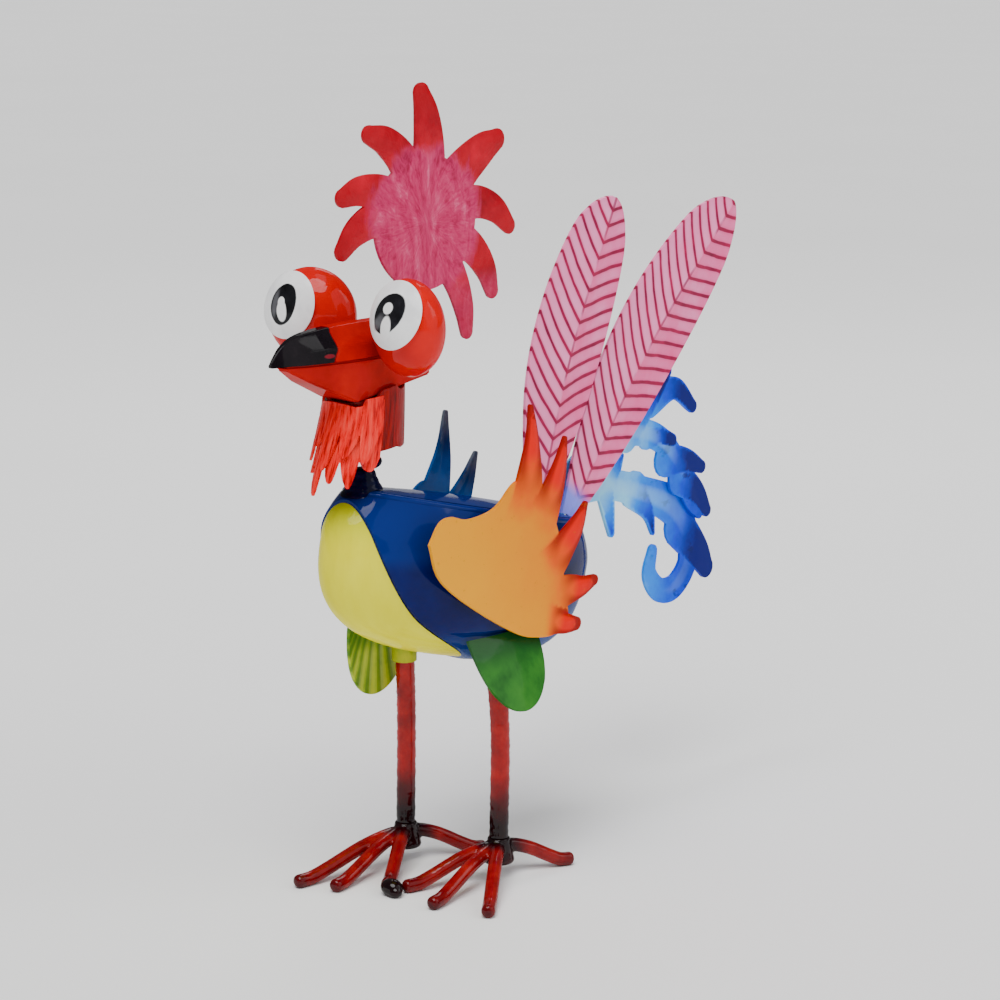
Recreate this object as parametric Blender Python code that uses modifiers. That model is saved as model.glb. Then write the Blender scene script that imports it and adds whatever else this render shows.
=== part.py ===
# Garden rooster, welded from painted sheet steel and round bar.
# Metres, +Z up. The rooster faces -Y, its left side is +X, and its toes stand on Z = 0.

import math

import bmesh
import bpy
from mathutils import Matrix, Vector
from mathutils.geometry import delaunay_2d_cdt

# Sheet, bar and fits
SHEET = 0.0014              # thickness of the comb, wings, feathers and leaves
THIN_SHEET = 0.0010         # thickness of the neck hackles
LEG_BAR = 0.0086            # diameter of the leg bars
TOE_BAR = 0.0058            # diameter of the toe bars
GAP = 0.0003                # clearance wherever two pieces touch

# Body: a closed shell shaped like a bowl with a crowned back
BODY_LENGTH = 0.150
BODY_WIDTH = 0.060
BODY_DEPTH = 0.0445         # from the widest line down to the keel
SHOULDER = 0.0180           # from the widest line up to the rim of the back
BACK_CROWN = 0.0028         # how far the back domes over its rim
BODY_ROUND = 2.8            # how full the bowl is: 2 is an ellipse, more is boxier
SHOULDER_NARROWING = 0.12   # the rim of the back is this share smaller than the widest line
BODY_TILT = 14.0            # degrees, breast up
BODY_CENTRE = (0.0, 0.007, 0.137)
BREAST_RECESS = 0.0009      # the breast plate lies this far inside the blue shell

# Breast plate seam in the side view, in shares of the body's length and depth from its centre
SEAM = ((-0.4067, 1.191), (-0.430, 0.427), (-0.3267, -0.3596), (-0.060, -0.9663), (0.100, -1.3258))

# Wings: flat plates in the side view (y, z), one each side
WING_ROOT = (-0.004, 0.130)
WING_LENGTH = 0.106
WING_HEIGHT = 0.100
WING_LEAN = 2.0             # degrees that the top leans out
RIGHT_WING_DROOP = 12.0     # degrees that the right wing was welded lower at the back
RIGHT_WING_SETBACK = 0.0135 # and further back

# Neck
NECK_Y = BODY_CENTRE[1] - 0.367 * BODY_LENGTH
COLLAR_RADIUS = 0.0092
COLLAR_TOP_RADIUS = 0.0040
COLLAR_HEIGHT = 0.0095
SPRING_DIAMETER = 0.0150
SPRING_WIRE = 0.0030
SPRING_PITCH = 0.0060

# Hackles: a flared sleeve of sheet with two cut layers over its front
HACKLE_TOP_Y = -0.0450
HACKLE_FOOT = (-0.0500, 0.1705)
HACKLE_TOP_SIZE = (0.0118, 0.0163)
HACKLE_FOOT_SIZE = (0.0128, 0.0202)
HACKLE_LAYER = 0.0017       # spacing of the layers

# Head
HEAD_RIDGE = 0.2375
BEAK_TIP = (-0.0975, 0.2255)
HEAD_WIDTH = 0.0230
JAW_WIDTH = 0.0225
JAW_BACK_RISE = 0.0062      # the underside of the jaw climbs this much behind the chin
BEAK_EDGE = 0.2245          # height of the mouth line
CHIN = (-0.0610, 0.2075)
HEAD_BACK = -0.0200
EYE_DIAMETER = 0.0378
EYE_DEPTH = 0.0252          # each eye is two pressed domes, flatter from front to back
EYE_SQUINT = 18.0           # degrees that each eye turns in
EYE_PLACE = (0.0265, -0.0492, 0.2372)
EYE_WHITE_THICKNESS = 0.0012
EYE_WHITE_REACH = (1.25, 1.22)  # how wide the white plate opens to each side and up, as slopes
LEFT_EYE_AIM = (3.6, 24.0)      # degrees outward and up
RIGHT_EYE_AIM = (4.8, 18.0)

# Comb: a disc with claws round it, in the side view
COMB_CENTRE = (-0.0120, 0.2725)
COMB_DISC = (0.0290, 0.0270)
CLAW_WIDTH = 0.0158
CLAW_TIP_WIDTH = 0.0084
CLAW_REACHES = (0.0555, 0.0518, 0.0520, 0.0515, 0.0560, 0.0540, 0.0545, 0.0565)
CLAW_TIPS = (92, 130, 164, 189, 36, -6, -38, -62)       # degrees, where each claw points
CLAW_ROOTS = (83, 110, 146, 166, 44, 19, -18, -50)      # degrees, where it starts
CLAW_SHARES = (0.98, 0.92, 0.88, 0.88, 1.05, 0.84, 0.82, 0.78)
COMB_TAB = (0.0100, 0.0080)     # the comb's foot, before and behind the back of the head

# Tail: two folded feathers and two cut plumes, side by side across the back
FEATHER_WIDTH = 0.0450
FEATHER_FOLD = 0.0030       # depth of the crease along the midrib
FRONT_FEATHER = (0.0062, 0.0480)    # place of the foot (x, y)
FRONT_FEATHER_LENGTH = 0.1425
FRONT_FEATHER_LEAN = 21.0   # degrees back from upright
REAR_FEATHER = (0.0008, 0.0730)
REAR_FEATHER_LENGTH = 0.1740
REAR_FEATHER_LEAN = 41.5
PLUME_ROOT = (0.070, 0.148)         # (y, z)
PLUME_LENGTH = 0.110
UPPER_PLUME_X = -0.0042
LOWER_PLUME_X = -0.0062

# Legs and feet
LEG_INSET = 0.0085          # from the widest line of the body in to each leg
LEFT_FOOT_Y = 0.0080
RIGHT_FOOT_Y = -0.0030
ANKLE_HEIGHT = 0.0170
ANKLE_WELD_RADIUS = 0.0066
TOE_ARCH = 0.0100           # height of the hump of each toe
TOE_FLAT = 0.0003           # worn off the underside of each toe
TOE_WELD_PLACE = (0.0055, -0.0395)
TOE_WELD_SIZE = (0.0052, 0.0040, 0.0036)
INNER_TOE_ENDS = (0.0017, 0.0041)   # from the middle of the weld to the left and the right toe
LEFT_TOE_REACHES = (0.0450, 0.0510, 0.0530, 0.0345)
LEFT_TOE_HEADINGS = (9.5, 37.3, 156.5)      # degrees outward, all but the inner toe
RIGHT_TOE_REACHES = (0.0420, 0.0580, 0.0515, 0.0350)
RIGHT_TOE_HEADINGS = (8.0, -8.4, -146.0)
SOCKET_RADIUS = 0.0054
SOCKET_LENGTH = 0.0120      # below the body, and as much again inside it
LEAF_LENGTH = 0.0330        # thigh leaf, from inside the body to its tip
LEFT_LEAF_WIDTH = 0.0400
RIGHT_LEAF_WIDTH = 0.0370
LEFT_LEAF_OUTSIDE = 0.0058  # from the leg's line out to the root of the leaf
RIGHT_LEAF_OUTSIDE = 0.0074
LEAF_TUCK = 0.0060          # the root lies this far up inside the body
LEFT_LEAF_SPLAY = (30.0, 14.0)  # degrees out from straight down, at the root and at the tip
RIGHT_LEAF_SPLAY = (5.0, 0.0)
LEAF_CUP = 0.0020           # the sides of the leaf bend inward this much
LEFT_LEAF_Y = 0.0045
RIGHT_LEAF_Y = -0.0120

LEG_SPREAD = BODY_WIDTH / 2 - LEG_INSET
WING_GRID = 0.022           # spacing of the points inside a wing

# Height of the underside of the body over each leg
UNDERSIDE = BODY_CENTRE[2] - BODY_DEPTH * (1.0 - (2 * LEG_SPREAD / BODY_WIDTH) ** BODY_ROUND) ** (1 / BODY_ROUND)

COLOURS = {
    "blue": (0.004, 0.030, 0.155),
    "yellow": (0.78, 0.74, 0.10),
    "orange": (0.98, 0.42, 0.05),
    "pink": (0.93, 0.37, 0.52),
    "sky": (0.06, 0.28, 0.82),
    "red": (0.60, 0.008, 0.008),
    "black": (0.008, 0.006, 0.010),
    "comb": (0.60, 0.06, 0.16),
    "white": (0.90, 0.90, 0.88),
    "leaf": (0.055, 0.19, 0.040),
    "lime": (0.35, 0.42, 0.08),
    "leg": (0.42, 0.016, 0.014),
}


def clear_scene():
    for old in list(bpy.data.objects):
        bpy.data.objects.remove(old, do_unlink=True)


def make_collection(name):
    collection = bpy.data.collections.new(name)
    bpy.context.scene.collection.children.link(collection)
    return collection


def paint(colour):
    name = "enamel_" + colour
    if name in bpy.data.materials:
        return bpy.data.materials[name]
    material = bpy.data.materials.new(name)
    material.use_nodes = True
    shader = material.node_tree.nodes["Principled BSDF"]
    shader.inputs["Base Color"].default_value = COLOURS[colour] + (1.0,)
    shader.inputs["Roughness"].default_value = 0.22
    shader.inputs["Metallic"].default_value = 0.0
    return material


def add_object(name, mesh, colour, smooth_angle=40.0):
    piece = bpy.data.objects.new(name, mesh)
    PARTS.objects.link(piece)
    mesh.materials.clear()
    mesh.materials.append(paint(colour))
    mesh.shade_smooth()
    mesh.set_sharp_from_angle(angle=math.radians(smooth_angle))
    return piece


def add_cutter(name, mesh):
    cutter = bpy.data.objects.new(name, mesh)
    CUTTERS.objects.link(cutter)
    cutter.hide_render = True
    cutter.display_type = "WIRE"
    return cutter


def boolean(piece, cutter, operation):
    step = piece.modifiers.new(operation.lower() + "_" + cutter.name, "BOOLEAN")
    step.operation = operation
    step.solver = "EXACT"
    step.object = cutter


def mesh_of(work, name):
    mesh = bpy.data.meshes.new(name)
    work.normal_update()
    work.to_mesh(mesh)
    work.free()
    return mesh


def baked(piece, name):
    """The evaluated shape of an object, as one welded mesh in world space; the object goes."""
    graph = bpy.context.evaluated_depsgraph_get()
    mesh = bpy.data.meshes.new_from_object(piece.evaluated_get(graph))
    mesh.transform(piece.matrix_world)
    mesh.name = name
    work = bmesh.new()
    work.from_mesh(mesh)
    bmesh.ops.remove_doubles(work, verts=work.verts, dist=0.00002)
    work.to_mesh(mesh)
    work.free()
    bpy.data.objects.remove(piece, do_unlink=True)
    return mesh


def blend(a, b, share):
    return a + (b - a) * share


def eased(share):
    return share * share * (3.0 - 2.0 * share)


def curve_through(points, count):
    """Points along one smooth curve that passes through the given ones."""
    knots = [Vector(p) for p in points]
    knots = [2 * knots[0] - knots[1]] + knots + [2 * knots[-1] - knots[-2]]
    spans = len(knots) - 3
    found = []
    for step in range(count):
        place = spans * step / (count - 1)
        span = min(int(place), spans - 1)
        t = place - span
        a, b, c, d = knots[span:span + 4]
        found.append(0.5 * (2 * b + (c - a) * t + (2 * a - 5 * b + 4 * c - d) * t * t
                            + (3 * b - a - 3 * c + d) * t * t * t))
    return found


# Flat outlines

def oval(centre, size, count):
    found = []
    for step in range(count):
        angle = 2 * math.pi * step / count
        found.append((centre[0] + size[0] * math.cos(angle), centre[1] + size[1] * math.sin(angle)))
    return found


def round_end(centre, along, radius, steps):
    across = Vector((-along.y, along.x, 0.0))
    found = []
    for step in range(1, steps + 1):
        angle = math.pi * step / (steps + 1)
        found.append(centre + across * radius * math.cos(angle) + along * radius * math.sin(angle))
    return found


def claw(spine, widths, count=7, tip_steps=3):
    """A tapered stroke along a smooth spine, round at both ends."""
    line = curve_through([(p[0], p[1], 0.0) for p in spine], count)
    left = []
    right = []
    for step, point in enumerate(line):
        before = line[max(step - 1, 0)]
        after = line[min(step + 1, count - 1)]
        along = (after - before).normalized()
        across = Vector((-along.y, along.x, 0.0))
        half = curve_through([(w, 0.0, 0.0) for w in widths], count)[step].x / 2
        left.append(point + across * half)
        right.append(point - across * half)
    tip = round_end(line[-1], (line[-1] - line[-2]).normalized(), widths[-1] / 2, tip_steps)
    root = round_end(line[0], (line[0] - line[1]).normalized(), widths[0] / 2, tip_steps)
    return [(p.x, p.y) for p in left + tip + right[::-1] + root]


def filled(shapes, spacing=None):
    """One triangulated sheet that covers overlapping flat shapes, as points and faces."""
    points = []
    faces = []
    for shape in shapes:
        area = sum(a[0] * b[1] - b[0] * a[1] for a, b in zip(shape, shape[1:] + shape[:1]))
        ordered = shape if area > 0 else shape[::-1]
        faces.append(list(range(len(points), len(points) + len(ordered))))
        points.extend(Vector(p) for p in ordered)
    if spacing:
        low = [min(p[axis] for p in points) for axis in (0, 1)]
        high = [max(p[axis] for p in points) for axis in (0, 1)]
        rows = int((high[1] - low[1]) / spacing)
        columns = int((high[0] - low[0]) / spacing)
        rims = [s + s[:1] for s in shapes]
        for row in range(1, rows + 1):
            for column in range(1, columns + 1):
                spot = Vector((low[0] + (column + 0.5 * (row % 2)) * spacing, low[1] + row * spacing))
                near = min((Vector(p) - spot).length for rim in rims for p in rim)
                if near > 0.5 * spacing:
                    points.append(spot)
    verts, _, tris, _, _, owners = delaunay_2d_cdt(points, [], faces, 1, 1e-6)
    return [(v.x, v.y) for v in verts], [f for f, owner in zip(tris, owners) if owner]


def sheet(name, shapes, place, thickness, colour, spacing=None):
    """A plate cut from sheet: flat shapes, moved into space by the function place(u, v)."""
    points, faces = filled(shapes, spacing)
    work = bmesh.new()
    verts = [work.verts.new(place(u, v)) for u, v in points]
    for face in faces:
        work.faces.new([verts[i] for i in face])
    loose = [v for v in work.verts if not v.link_faces]
    bmesh.ops.delete(work, geom=loose, context="VERTS")
    bmesh.ops.recalc_face_normals(work, faces=work.faces)
    piece = add_object(name, mesh_of(work, name), colour)
    solid = piece.modifiers.new("thickness", "SOLIDIFY")
    solid.thickness = thickness
    solid.offset = 0.0
    solid.use_even_offset = True
    solid.use_rim = True
    return piece


def side_plate(x):
    """Places a flat shape (y, z) in the plane at x."""
    return lambda u, v: (x, u, v)


# Lofts, turned pieces and bars

def loft(rings, name):
    """A closed skin over rings of points, capped at both ends."""
    work = bmesh.new()
    rows = [[work.verts.new(p) for p in ring] for ring in rings]
    count = len(rows[0])
    for lower, upper in zip(rows, rows[1:]):
        for i in range(count):
            j = (i + 1) % count
            work.faces.new((lower[i], lower[j], upper[j], upper[i]))
    work.faces.new(rows[0][::-1])
    work.faces.new(rows[-1])
    bmesh.ops.recalc_face_normals(work, faces=work.faces)
    return mesh_of(work, name)


def bar(name, points, radius, sides=2):
    """A round bar as a curve object with filled caps."""
    data = bpy.data.curves.new(name, "CURVE")
    data.dimensions = "3D"
    data.bevel_depth = radius
    data.bevel_resolution = sides
    data.use_fill_caps = True
    spline = data.splines.new("POLY")
    spline.points.add(len(points) - 1)
    for index, point in enumerate(points):
        spline.points[index].co = (*point, 1.0)
    piece = bpy.data.objects.new(name, data)
    PARTS.objects.link(piece)
    return piece


def turned(name, profile, colour, steps=20):
    """A profile of (radius, height) that starts and ends on the axis, spun about Z."""
    work = bmesh.new()
    verts = [work.verts.new((radius, 0.0, height)) for radius, height in profile]
    for a, b in zip(verts, verts[1:]):
        work.edges.new((a, b))
    piece = add_object(name, mesh_of(work, name), colour)
    spin = piece.modifiers.new("spin", "SCREW")
    spin.steps = steps
    spin.render_steps = steps
    spin.use_merge_vertices = True
    spin.merge_threshold = 0.00005
    spin.use_smooth_shade = True
    return piece


# Body

def body_share(drop):
    """Plan size, as a share of the widest line, at a height below (-) or above (+) it."""
    if drop >= 0:
        return 1.0 - SHOULDER_NARROWING * (drop / SHOULDER) ** 1.7
    return (1.0 - (-drop / BODY_DEPTH) ** BODY_ROUND) ** (1 / BODY_ROUND)


def body_skin(name, grow):
    """The whole closed body, grown all over by the given amount."""
    levels = (-0.998, -0.97, -0.90, -0.78, -0.60, -0.38, -0.14)
    drops = [BODY_DEPTH * level for level in levels]
    drops += [SHOULDER * share for share in (0.10, 0.40, 0.72, 1.0)]
    sides = 32
    rings = []
    for drop in drops:
        share = body_share(drop)
        lift = grow * drop / BODY_DEPTH if drop < 0 else 0.0
        ring = []
        for step in range(sides):
            angle = 2 * math.pi * step / sides
            ring.append((share * (BODY_WIDTH / 2 + grow) * math.cos(angle),
                         share * (BODY_LENGTH / 2 + grow) * math.sin(angle), drop + lift))
        rings.append(ring)
    rim = rings[-1]
    for share in (0.75, 0.40):
        height = SHOULDER + grow + BACK_CROWN * (1 - share * share)
        rings.append([(x * share, y * share, height) for x, y, _ in rim])
    mesh = loft(rings, name)
    mesh.transform(Matrix.Translation(BODY_CENTRE) @ Matrix.Rotation(math.radians(-BODY_TILT), 4, "X"))
    return mesh


def back_line(y):
    """Height of the rim of the back at a place along the body."""
    turn = math.radians(BODY_TILT)
    return BODY_CENTRE[2] + SHOULDER / math.cos(turn) - (y - BODY_CENTRE[1]) * math.tan(turn)


def seam_cutter(name, shift):
    """A block that holds all that lies in front of and under the breast seam."""
    spots = [(BODY_CENTRE[1] + u * BODY_LENGTH, BODY_CENTRE[2] + v * BODY_DEPTH, 0.0) for u, v in SEAM]
    seam = curve_through(spots, 16)
    points = []
    for index, point in enumerate(seam):
        before = seam[max(index - 1, 0)]
        after = seam[min(index + 1, len(seam) - 1)]
        along = (after - before).normalized()
        across = Vector((along.y, -along.x, 0.0))
        moved = point + across * shift
        points.append((moved.x, moved.y))
    front = BODY_CENTRE[1] - BODY_LENGTH
    floor = BODY_CENTRE[2] - 2 * BODY_DEPTH
    outline = points + [(points[-1][0], floor), (front, floor), (front, spots[0][1])]
    rings = [[(x, u, v) for u, v in outline] for x in (-BODY_WIDTH, BODY_WIDTH)]
    return add_cutter(name, loft(rings, name))


def build_body():
    shell = add_object("body_shell", body_skin("body_shell", BREAST_RECESS), "blue")
    boolean(shell, seam_cutter("seam_for_shell", 0.0), "DIFFERENCE")
    breast = add_object("breast_plate", body_skin("breast_plate", 0.0), "yellow")
    boolean(breast, seam_cutter("seam_for_breast", GAP), "INTERSECT")
    return add_cutter("body_clearance", body_skin("body_clearance", BREAST_RECESS + GAP))


# Wings

def wing_shapes():
    """Front lobe, panel and five flame tips, in shares of the wing's length and height."""
    def at(u, v):
        return (WING_ROOT[0] + u * WING_LENGTH, WING_ROOT[1] + v * WING_HEIGHT)
    panel = curve_through([at(u, v) + (0.0,) for u, v in (
        (-0.385, 0.215), (-0.33, 0.295), (-0.265, 0.308), (-0.17, 0.283), (-0.03, 0.305), (0.085, 0.395),
        (0.22, 0.36), (0.34, 0.14), (0.38, -0.08), (0.40, -0.24), (0.33, -0.285), (0.22, -0.280),
        (0.09, -0.235), (-0.17, -0.07), (-0.33, 0.07), (-0.385, 0.215))], 44)
    shapes = [[(p.x, p.y) for p in panel[:-1]]]
    tips = (
        ((0.13, 0.16), (0.165, 0.42), (0.172, 0.56), (0.160, 0.690)),
        ((0.20, 0.15), (0.29, 0.30), (0.338, 0.42), (0.365, 0.530)),
        ((0.24, -0.04), (0.355, 0.05), (0.44, 0.14), (0.500, 0.232)),
        ((0.26, -0.13), (0.41, -0.115), (0.485, -0.115), (0.560, -0.102)),
        ((0.24, -0.21), (0.33, -0.235), (0.39, -0.255), (0.452, -0.268)),
    )
    widths = (
        (0.24, 0.13, 0.065, 0.020), (0.22, 0.14, 0.075, 0.020), (0.20, 0.14, 0.095, 0.025),
        (0.16, 0.12, 0.085, 0.045), (0.13, 0.10, 0.080, 0.055),
    )
    for spine, width in zip(tips, widths):
        shapes.append(claw([at(u, v) for u, v in spine], [w * WING_LENGTH for w in width], 6, 2))
    return shapes


def wing_place(side, droop, setback):
    """The plate touches the widest line of the body and leans out a little above it."""
    lean = math.tan(math.radians(WING_LEAN))
    turn = math.radians(droop)
    pivot = (WING_ROOT[0] - 0.4 * WING_LENGTH, WING_ROOT[1] + 0.2 * WING_HEIGHT)
    inner = BODY_WIDTH / 2 + BREAST_RECESS + GAP + SHEET / 2

    def place(u, v):
        du = u - pivot[0]
        dv = v - pivot[1]
        y = pivot[0] + du * math.cos(turn) + dv * math.sin(turn) + setback
        z = pivot[1] - du * math.sin(turn) + dv * math.cos(turn)
        return (side * (inner + lean * max(z - BODY_CENTRE[2], 0.0)), y, z)
    return place


def build_wings():
    left = wing_place(1, 0.0, 0.0)
    right = wing_place(-1, RIGHT_WING_DROOP, RIGHT_WING_SETBACK)
    sheet("left_wing", wing_shapes(), left, SHEET, "orange", spacing=WING_GRID)
    sheet("right_wing", wing_shapes(), right, SHEET, "orange", spacing=WING_GRID)


# Neck

def jaw_floor(y):
    """Height of the underside of the jaw along the head; lowest at the chin."""
    if y > CHIN[0]:
        return CHIN[1] + JAW_BACK_RISE * (y - CHIN[0]) / (HEAD_BACK - CHIN[0])
    return blend(CHIN[1], BEAK_EDGE, (CHIN[0] - y) / (CHIN[0] - BEAK_TIP[0]))


def build_neck(clearance):
    foot = back_line(NECK_Y) - 0.004
    top = back_line(NECK_Y) + COLLAR_HEIGHT
    slope = (COLLAR_RADIUS - COLLAR_TOP_RADIUS) / COLLAR_HEIGHT
    collar = turned("neck_collar", [
        (0.0, top), (COLLAR_TOP_RADIUS, top),
        (COLLAR_RADIUS + slope * 0.004, foot), (0.0, foot)], "black", steps=20)
    collar.location = (0.0, NECK_Y, 0.0)
    boolean(collar, clearance, "DIFFERENCE")
    radius = (SPRING_DIAMETER - SPRING_WIRE) / 2
    low = top + SPRING_WIRE / 2 + GAP
    high = jaw_floor(NECK_Y - SPRING_DIAMETER / 2) - SPRING_WIRE / 2 - GAP
    turns = (high - low) / SPRING_PITCH
    count = round(turns * 10)
    points = []
    for step in range(count + 1):
        angle = 2 * math.pi * turns * step / count
        points.append((radius * math.cos(angle), NECK_Y + radius * math.sin(angle),
                       blend(low, high, step / count)))
    spring = bar("spring_wire", points, SPRING_WIRE / 2, sides=1)
    add_object("neck_spring", baked(spring, "neck_spring"), "black")


def hackle_place(layer):
    """Wraps a flat cut (hundreds of degrees from the front, depth 0 to 1) round the flared sleeve."""
    def place(turn, depth):
        share = eased(min(max(depth, 0.0), 1.0))
        grow = layer * HACKLE_LAYER
        half_x = blend(HACKLE_TOP_SIZE[0], HACKLE_FOOT_SIZE[0], share) + grow
        half_y = blend(HACKLE_TOP_SIZE[1], HACKLE_FOOT_SIZE[1], share) + grow
        angle = math.radians(turn * 100.0)
        y = blend(HACKLE_TOP_Y, HACKLE_FOOT[0], share) - half_y * math.cos(angle)
        top = jaw_floor(y) - GAP - THIN_SHEET / 2
        return (half_x * math.sin(angle), y, blend(top, HACKLE_FOOT[1], depth))
    return place


def fringe(left, right, valley, tips, top):
    """A cut sheet: straight at the top, with pointed strips of the given depths along its foot."""
    width = (right - left) / len(tips)
    points = [(left, top)]
    for strip, tip in enumerate(tips):
        start = left + strip * width
        points.append((start, blend(valley, tip, 0.10)))
        points.append((start + 0.22 * width, blend(valley, tip, 0.70)))
        points.append((start + 0.46 * width, tip))
        points.append((start + 0.62 * width, blend(valley, tip, 0.90)))
        points.append((start + 0.88 * width, blend(valley, tip, 0.30)))
    points.append((right, valley))
    steps = max(2, round((right - left) / 0.22))
    points += [(blend(right, left, step / steps), top) for step in range(steps)]
    return points


def build_hackles():
    edge = 1.74
    steps = 16
    sleeve = [(blend(-edge, edge, step / steps), 0.585) for step in range(steps + 1)]
    sleeve += [(blend(edge, -edge, step / steps), 0.0) for step in range(steps + 1)]
    sheet("neck_sleeve", [sleeve], hackle_place(0), THIN_SHEET, "red", spacing=0.30)
    lower = fringe(-0.95, 0.76, 0.63, (0.76, 0.80, 0.99, 0.85, 0.75), 0.08)
    sheet("lower_beard", [lower], hackle_place(1), THIN_SHEET, "red", spacing=0.22)
    upper = fringe(-0.78, 0.72, 0.40, (0.62, 0.55, 0.68, 0.60), 0.03)
    sheet("upper_beard", [upper], hackle_place(2), THIN_SHEET, "red", spacing=0.22)


# Head

def build_head():
    mouth = BEAK_EDGE + GAP / 2
    stations = (
        (BEAK_TIP[0], BEAK_TIP[1] + 0.0006, BEAK_TIP[1] - 0.0012, 0.0012),
        (BEAK_TIP[0] + 0.006, blend(BEAK_TIP[1], HEAD_RIDGE, 0.56), mouth, 0.0048),
        (BEAK_TIP[0] + 0.016, blend(BEAK_TIP[1], HEAD_RIDGE, 0.86), mouth, 0.0082),
        (CHIN[0] + 0.003, HEAD_RIDGE, mouth, HEAD_WIDTH / 2),
        (HEAD_BACK, HEAD_RIDGE, mouth, HEAD_WIDTH / 2),
    )
    rings = []
    for y, top, bottom, half in stations:
        shoulder = blend(bottom, top, 0.45)
        rings.append([(-half, y, bottom), (half, y, bottom), (half * 0.86, y, shoulder),
                      (half * 0.22, y, top), (-half * 0.22, y, top), (-half * 0.86, y, shoulder)])
    skull = add_object("head", loft(rings, "head"), "red", 30.0)
    lip = BEAK_EDGE - GAP / 2
    stations = (
        (BEAK_TIP[0] + 0.006, lip - 0.0016, 0.0030),
        (blend(BEAK_TIP[0], CHIN[0], 0.45), blend(lip, CHIN[1], 0.45), 0.0072),
        (CHIN[0], CHIN[1], JAW_WIDTH / 2),
        (HEAD_BACK, CHIN[1] + JAW_BACK_RISE, JAW_WIDTH / 2),
    )
    rings = []
    for y, bottom, half in stations:
        rings.append([(-half * 0.90, y, bottom), (half * 0.90, y, bottom), (half, y, lip), (-half, y, lip)])
    jaw = add_object("lower_jaw", loft(rings, "lower_jaw"), "red", 30.0)
    return skull, jaw


def eye_place(side):
    return (side * EYE_PLACE[0], EYE_PLACE[1], EYE_PLACE[2])


def ball_mesh(name, radius, segments, rings):
    work = bmesh.new()
    bmesh.ops.create_uvsphere(work, u_segments=segments, v_segments=rings, radius=radius)
    return mesh_of(work, name)


def eye_ball(name, side, extra, segments, rings):
    """A flattened ball, extra metres bigger than the eye all round, turned in and in its place."""
    mesh = ball_mesh(name, 1.0, segments, rings)
    half = EYE_DIAMETER / 2 + extra
    mesh.transform(Matrix.Diagonal((half, EYE_DEPTH / 2 + extra, half, 1.0)))
    mesh.transform(Matrix.Rotation(math.radians(-side * EYE_SQUINT), 4, "Z"))
    mesh.transform(Matrix.Translation(eye_place(side)))
    return mesh


def eye_ring(side, aim, extra, share):
    """A ring on the eye, extra metres outside it, at a share of the way to the rim of the white."""
    around = math.radians(side * aim[0])
    above = math.radians(aim[1])
    ahead = Vector((math.sin(around) * math.cos(above), -math.cos(around) * math.cos(above), math.sin(above)))
    across = Vector((math.cos(around), math.sin(around), 0.0))
    up = across.cross(ahead) * -1.0
    squint = Matrix.Rotation(math.radians(side * EYE_SQUINT), 3, "Z")
    half = EYE_DIAMETER / 2 + extra
    depth = EYE_DEPTH / 2 + extra
    ring = []
    sides = 22
    for step in range(sides):
        angle = 2 * math.pi * step / sides
        out = share * EYE_WHITE_REACH[0] * math.cos(angle)
        rise = share * EYE_WHITE_REACH[1] * math.sin(angle)
        ray = (ahead + across * out + up * rise).normalized()
        own = squint @ ray
        distance = 1 / math.sqrt((own.x / half) ** 2 + (own.y / depth) ** 2 + (own.z / half) ** 2)
        ring.append(Vector(eye_place(side)) + ray * distance)
    return ring


def build_eyes(skull, jaw):
    inner = GAP
    outer = inner + EYE_WHITE_THICKNESS
    shares = (0.12, 0.40, 0.68, 0.88, 1.0)
    for side, hand, aim in ((1, "left", LEFT_EYE_AIM), (-1, "right", RIGHT_EYE_AIM)):
        socket = add_cutter(hand + "_eye_socket", eye_ball(hand + "_eye_socket", side, GAP, 24, 14))
        rings = [eye_ring(side, aim, outer + GAP, share * 1.03) for share in shares]
        rings += [eye_ring(side, aim, 0.0, share * 1.03) for share in shares[::-1]]
        room = add_cutter(hand + "_white_room", loft(rings, hand + "_white_room"))
        for piece in (skull, jaw):
            boolean(piece, socket, "DIFFERENCE")
            boolean(piece, room, "DIFFERENCE")
        add_object(hand + "_eyeball", eye_ball(hand + "_eyeball", side, 0.0, 22, 12), "red")
        rings = [eye_ring(side, aim, outer, share) for share in shares]
        rings += [eye_ring(side, aim, inner, share) for share in shares[::-1]]
        add_object(hand + "_eye_white", loft(rings, hand + "_eye_white"), "white")


def comb_shapes():
    """A disc with eight hooked claws."""
    shapes = [oval(COMB_CENTRE, COMB_DISC, 28)]
    for tip, reach, root, width in zip(CLAW_TIPS, CLAW_REACHES, CLAW_ROOTS, CLAW_SHARES):
        spine = []
        for share in (0.42, 0.64, 0.84, 1.0):
            angle = math.radians(blend(root, tip, share ** 2.4))
            distance = (reach - CLAW_TIP_WIDTH / 2) * share
            spine.append((COMB_CENTRE[0] + distance * math.cos(angle),
                          COMB_CENTRE[1] + distance * math.sin(angle)))
        widths = [w * width for w in (CLAW_WIDTH * 1.15, CLAW_WIDTH, CLAW_WIDTH * 0.82, CLAW_TIP_WIDTH)]
        shapes.append(claw(spine, widths, 6, 2))
    return shapes


def build_comb():
    low = HEAD_RIDGE + GAP
    front = HEAD_BACK - COMB_TAB[0]
    tab = [(front, low), (HEAD_BACK, low), (HEAD_BACK + COMB_TAB[1], COMB_CENTRE[1]), (front, COMB_CENTRE[1])]
    sheet("comb", comb_shapes() + [tab], side_plate(0.0), SHEET, "comb")


# Tail

def feather_width(share):
    """Half-width of the leaf along its length, 1 at the widest, round at the tip."""
    body = curve_through([(w, 0.0, 0.0) for w in (0.16, 0.62, 0.92, 1.0, 0.88, 0.56)], 41)
    tip = max((share - 0.86) / 0.14, 0.0)
    return body[round(40 * share)].x * math.sqrt(max(1.0 - tip ** 2.2, 0.02))


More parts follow.
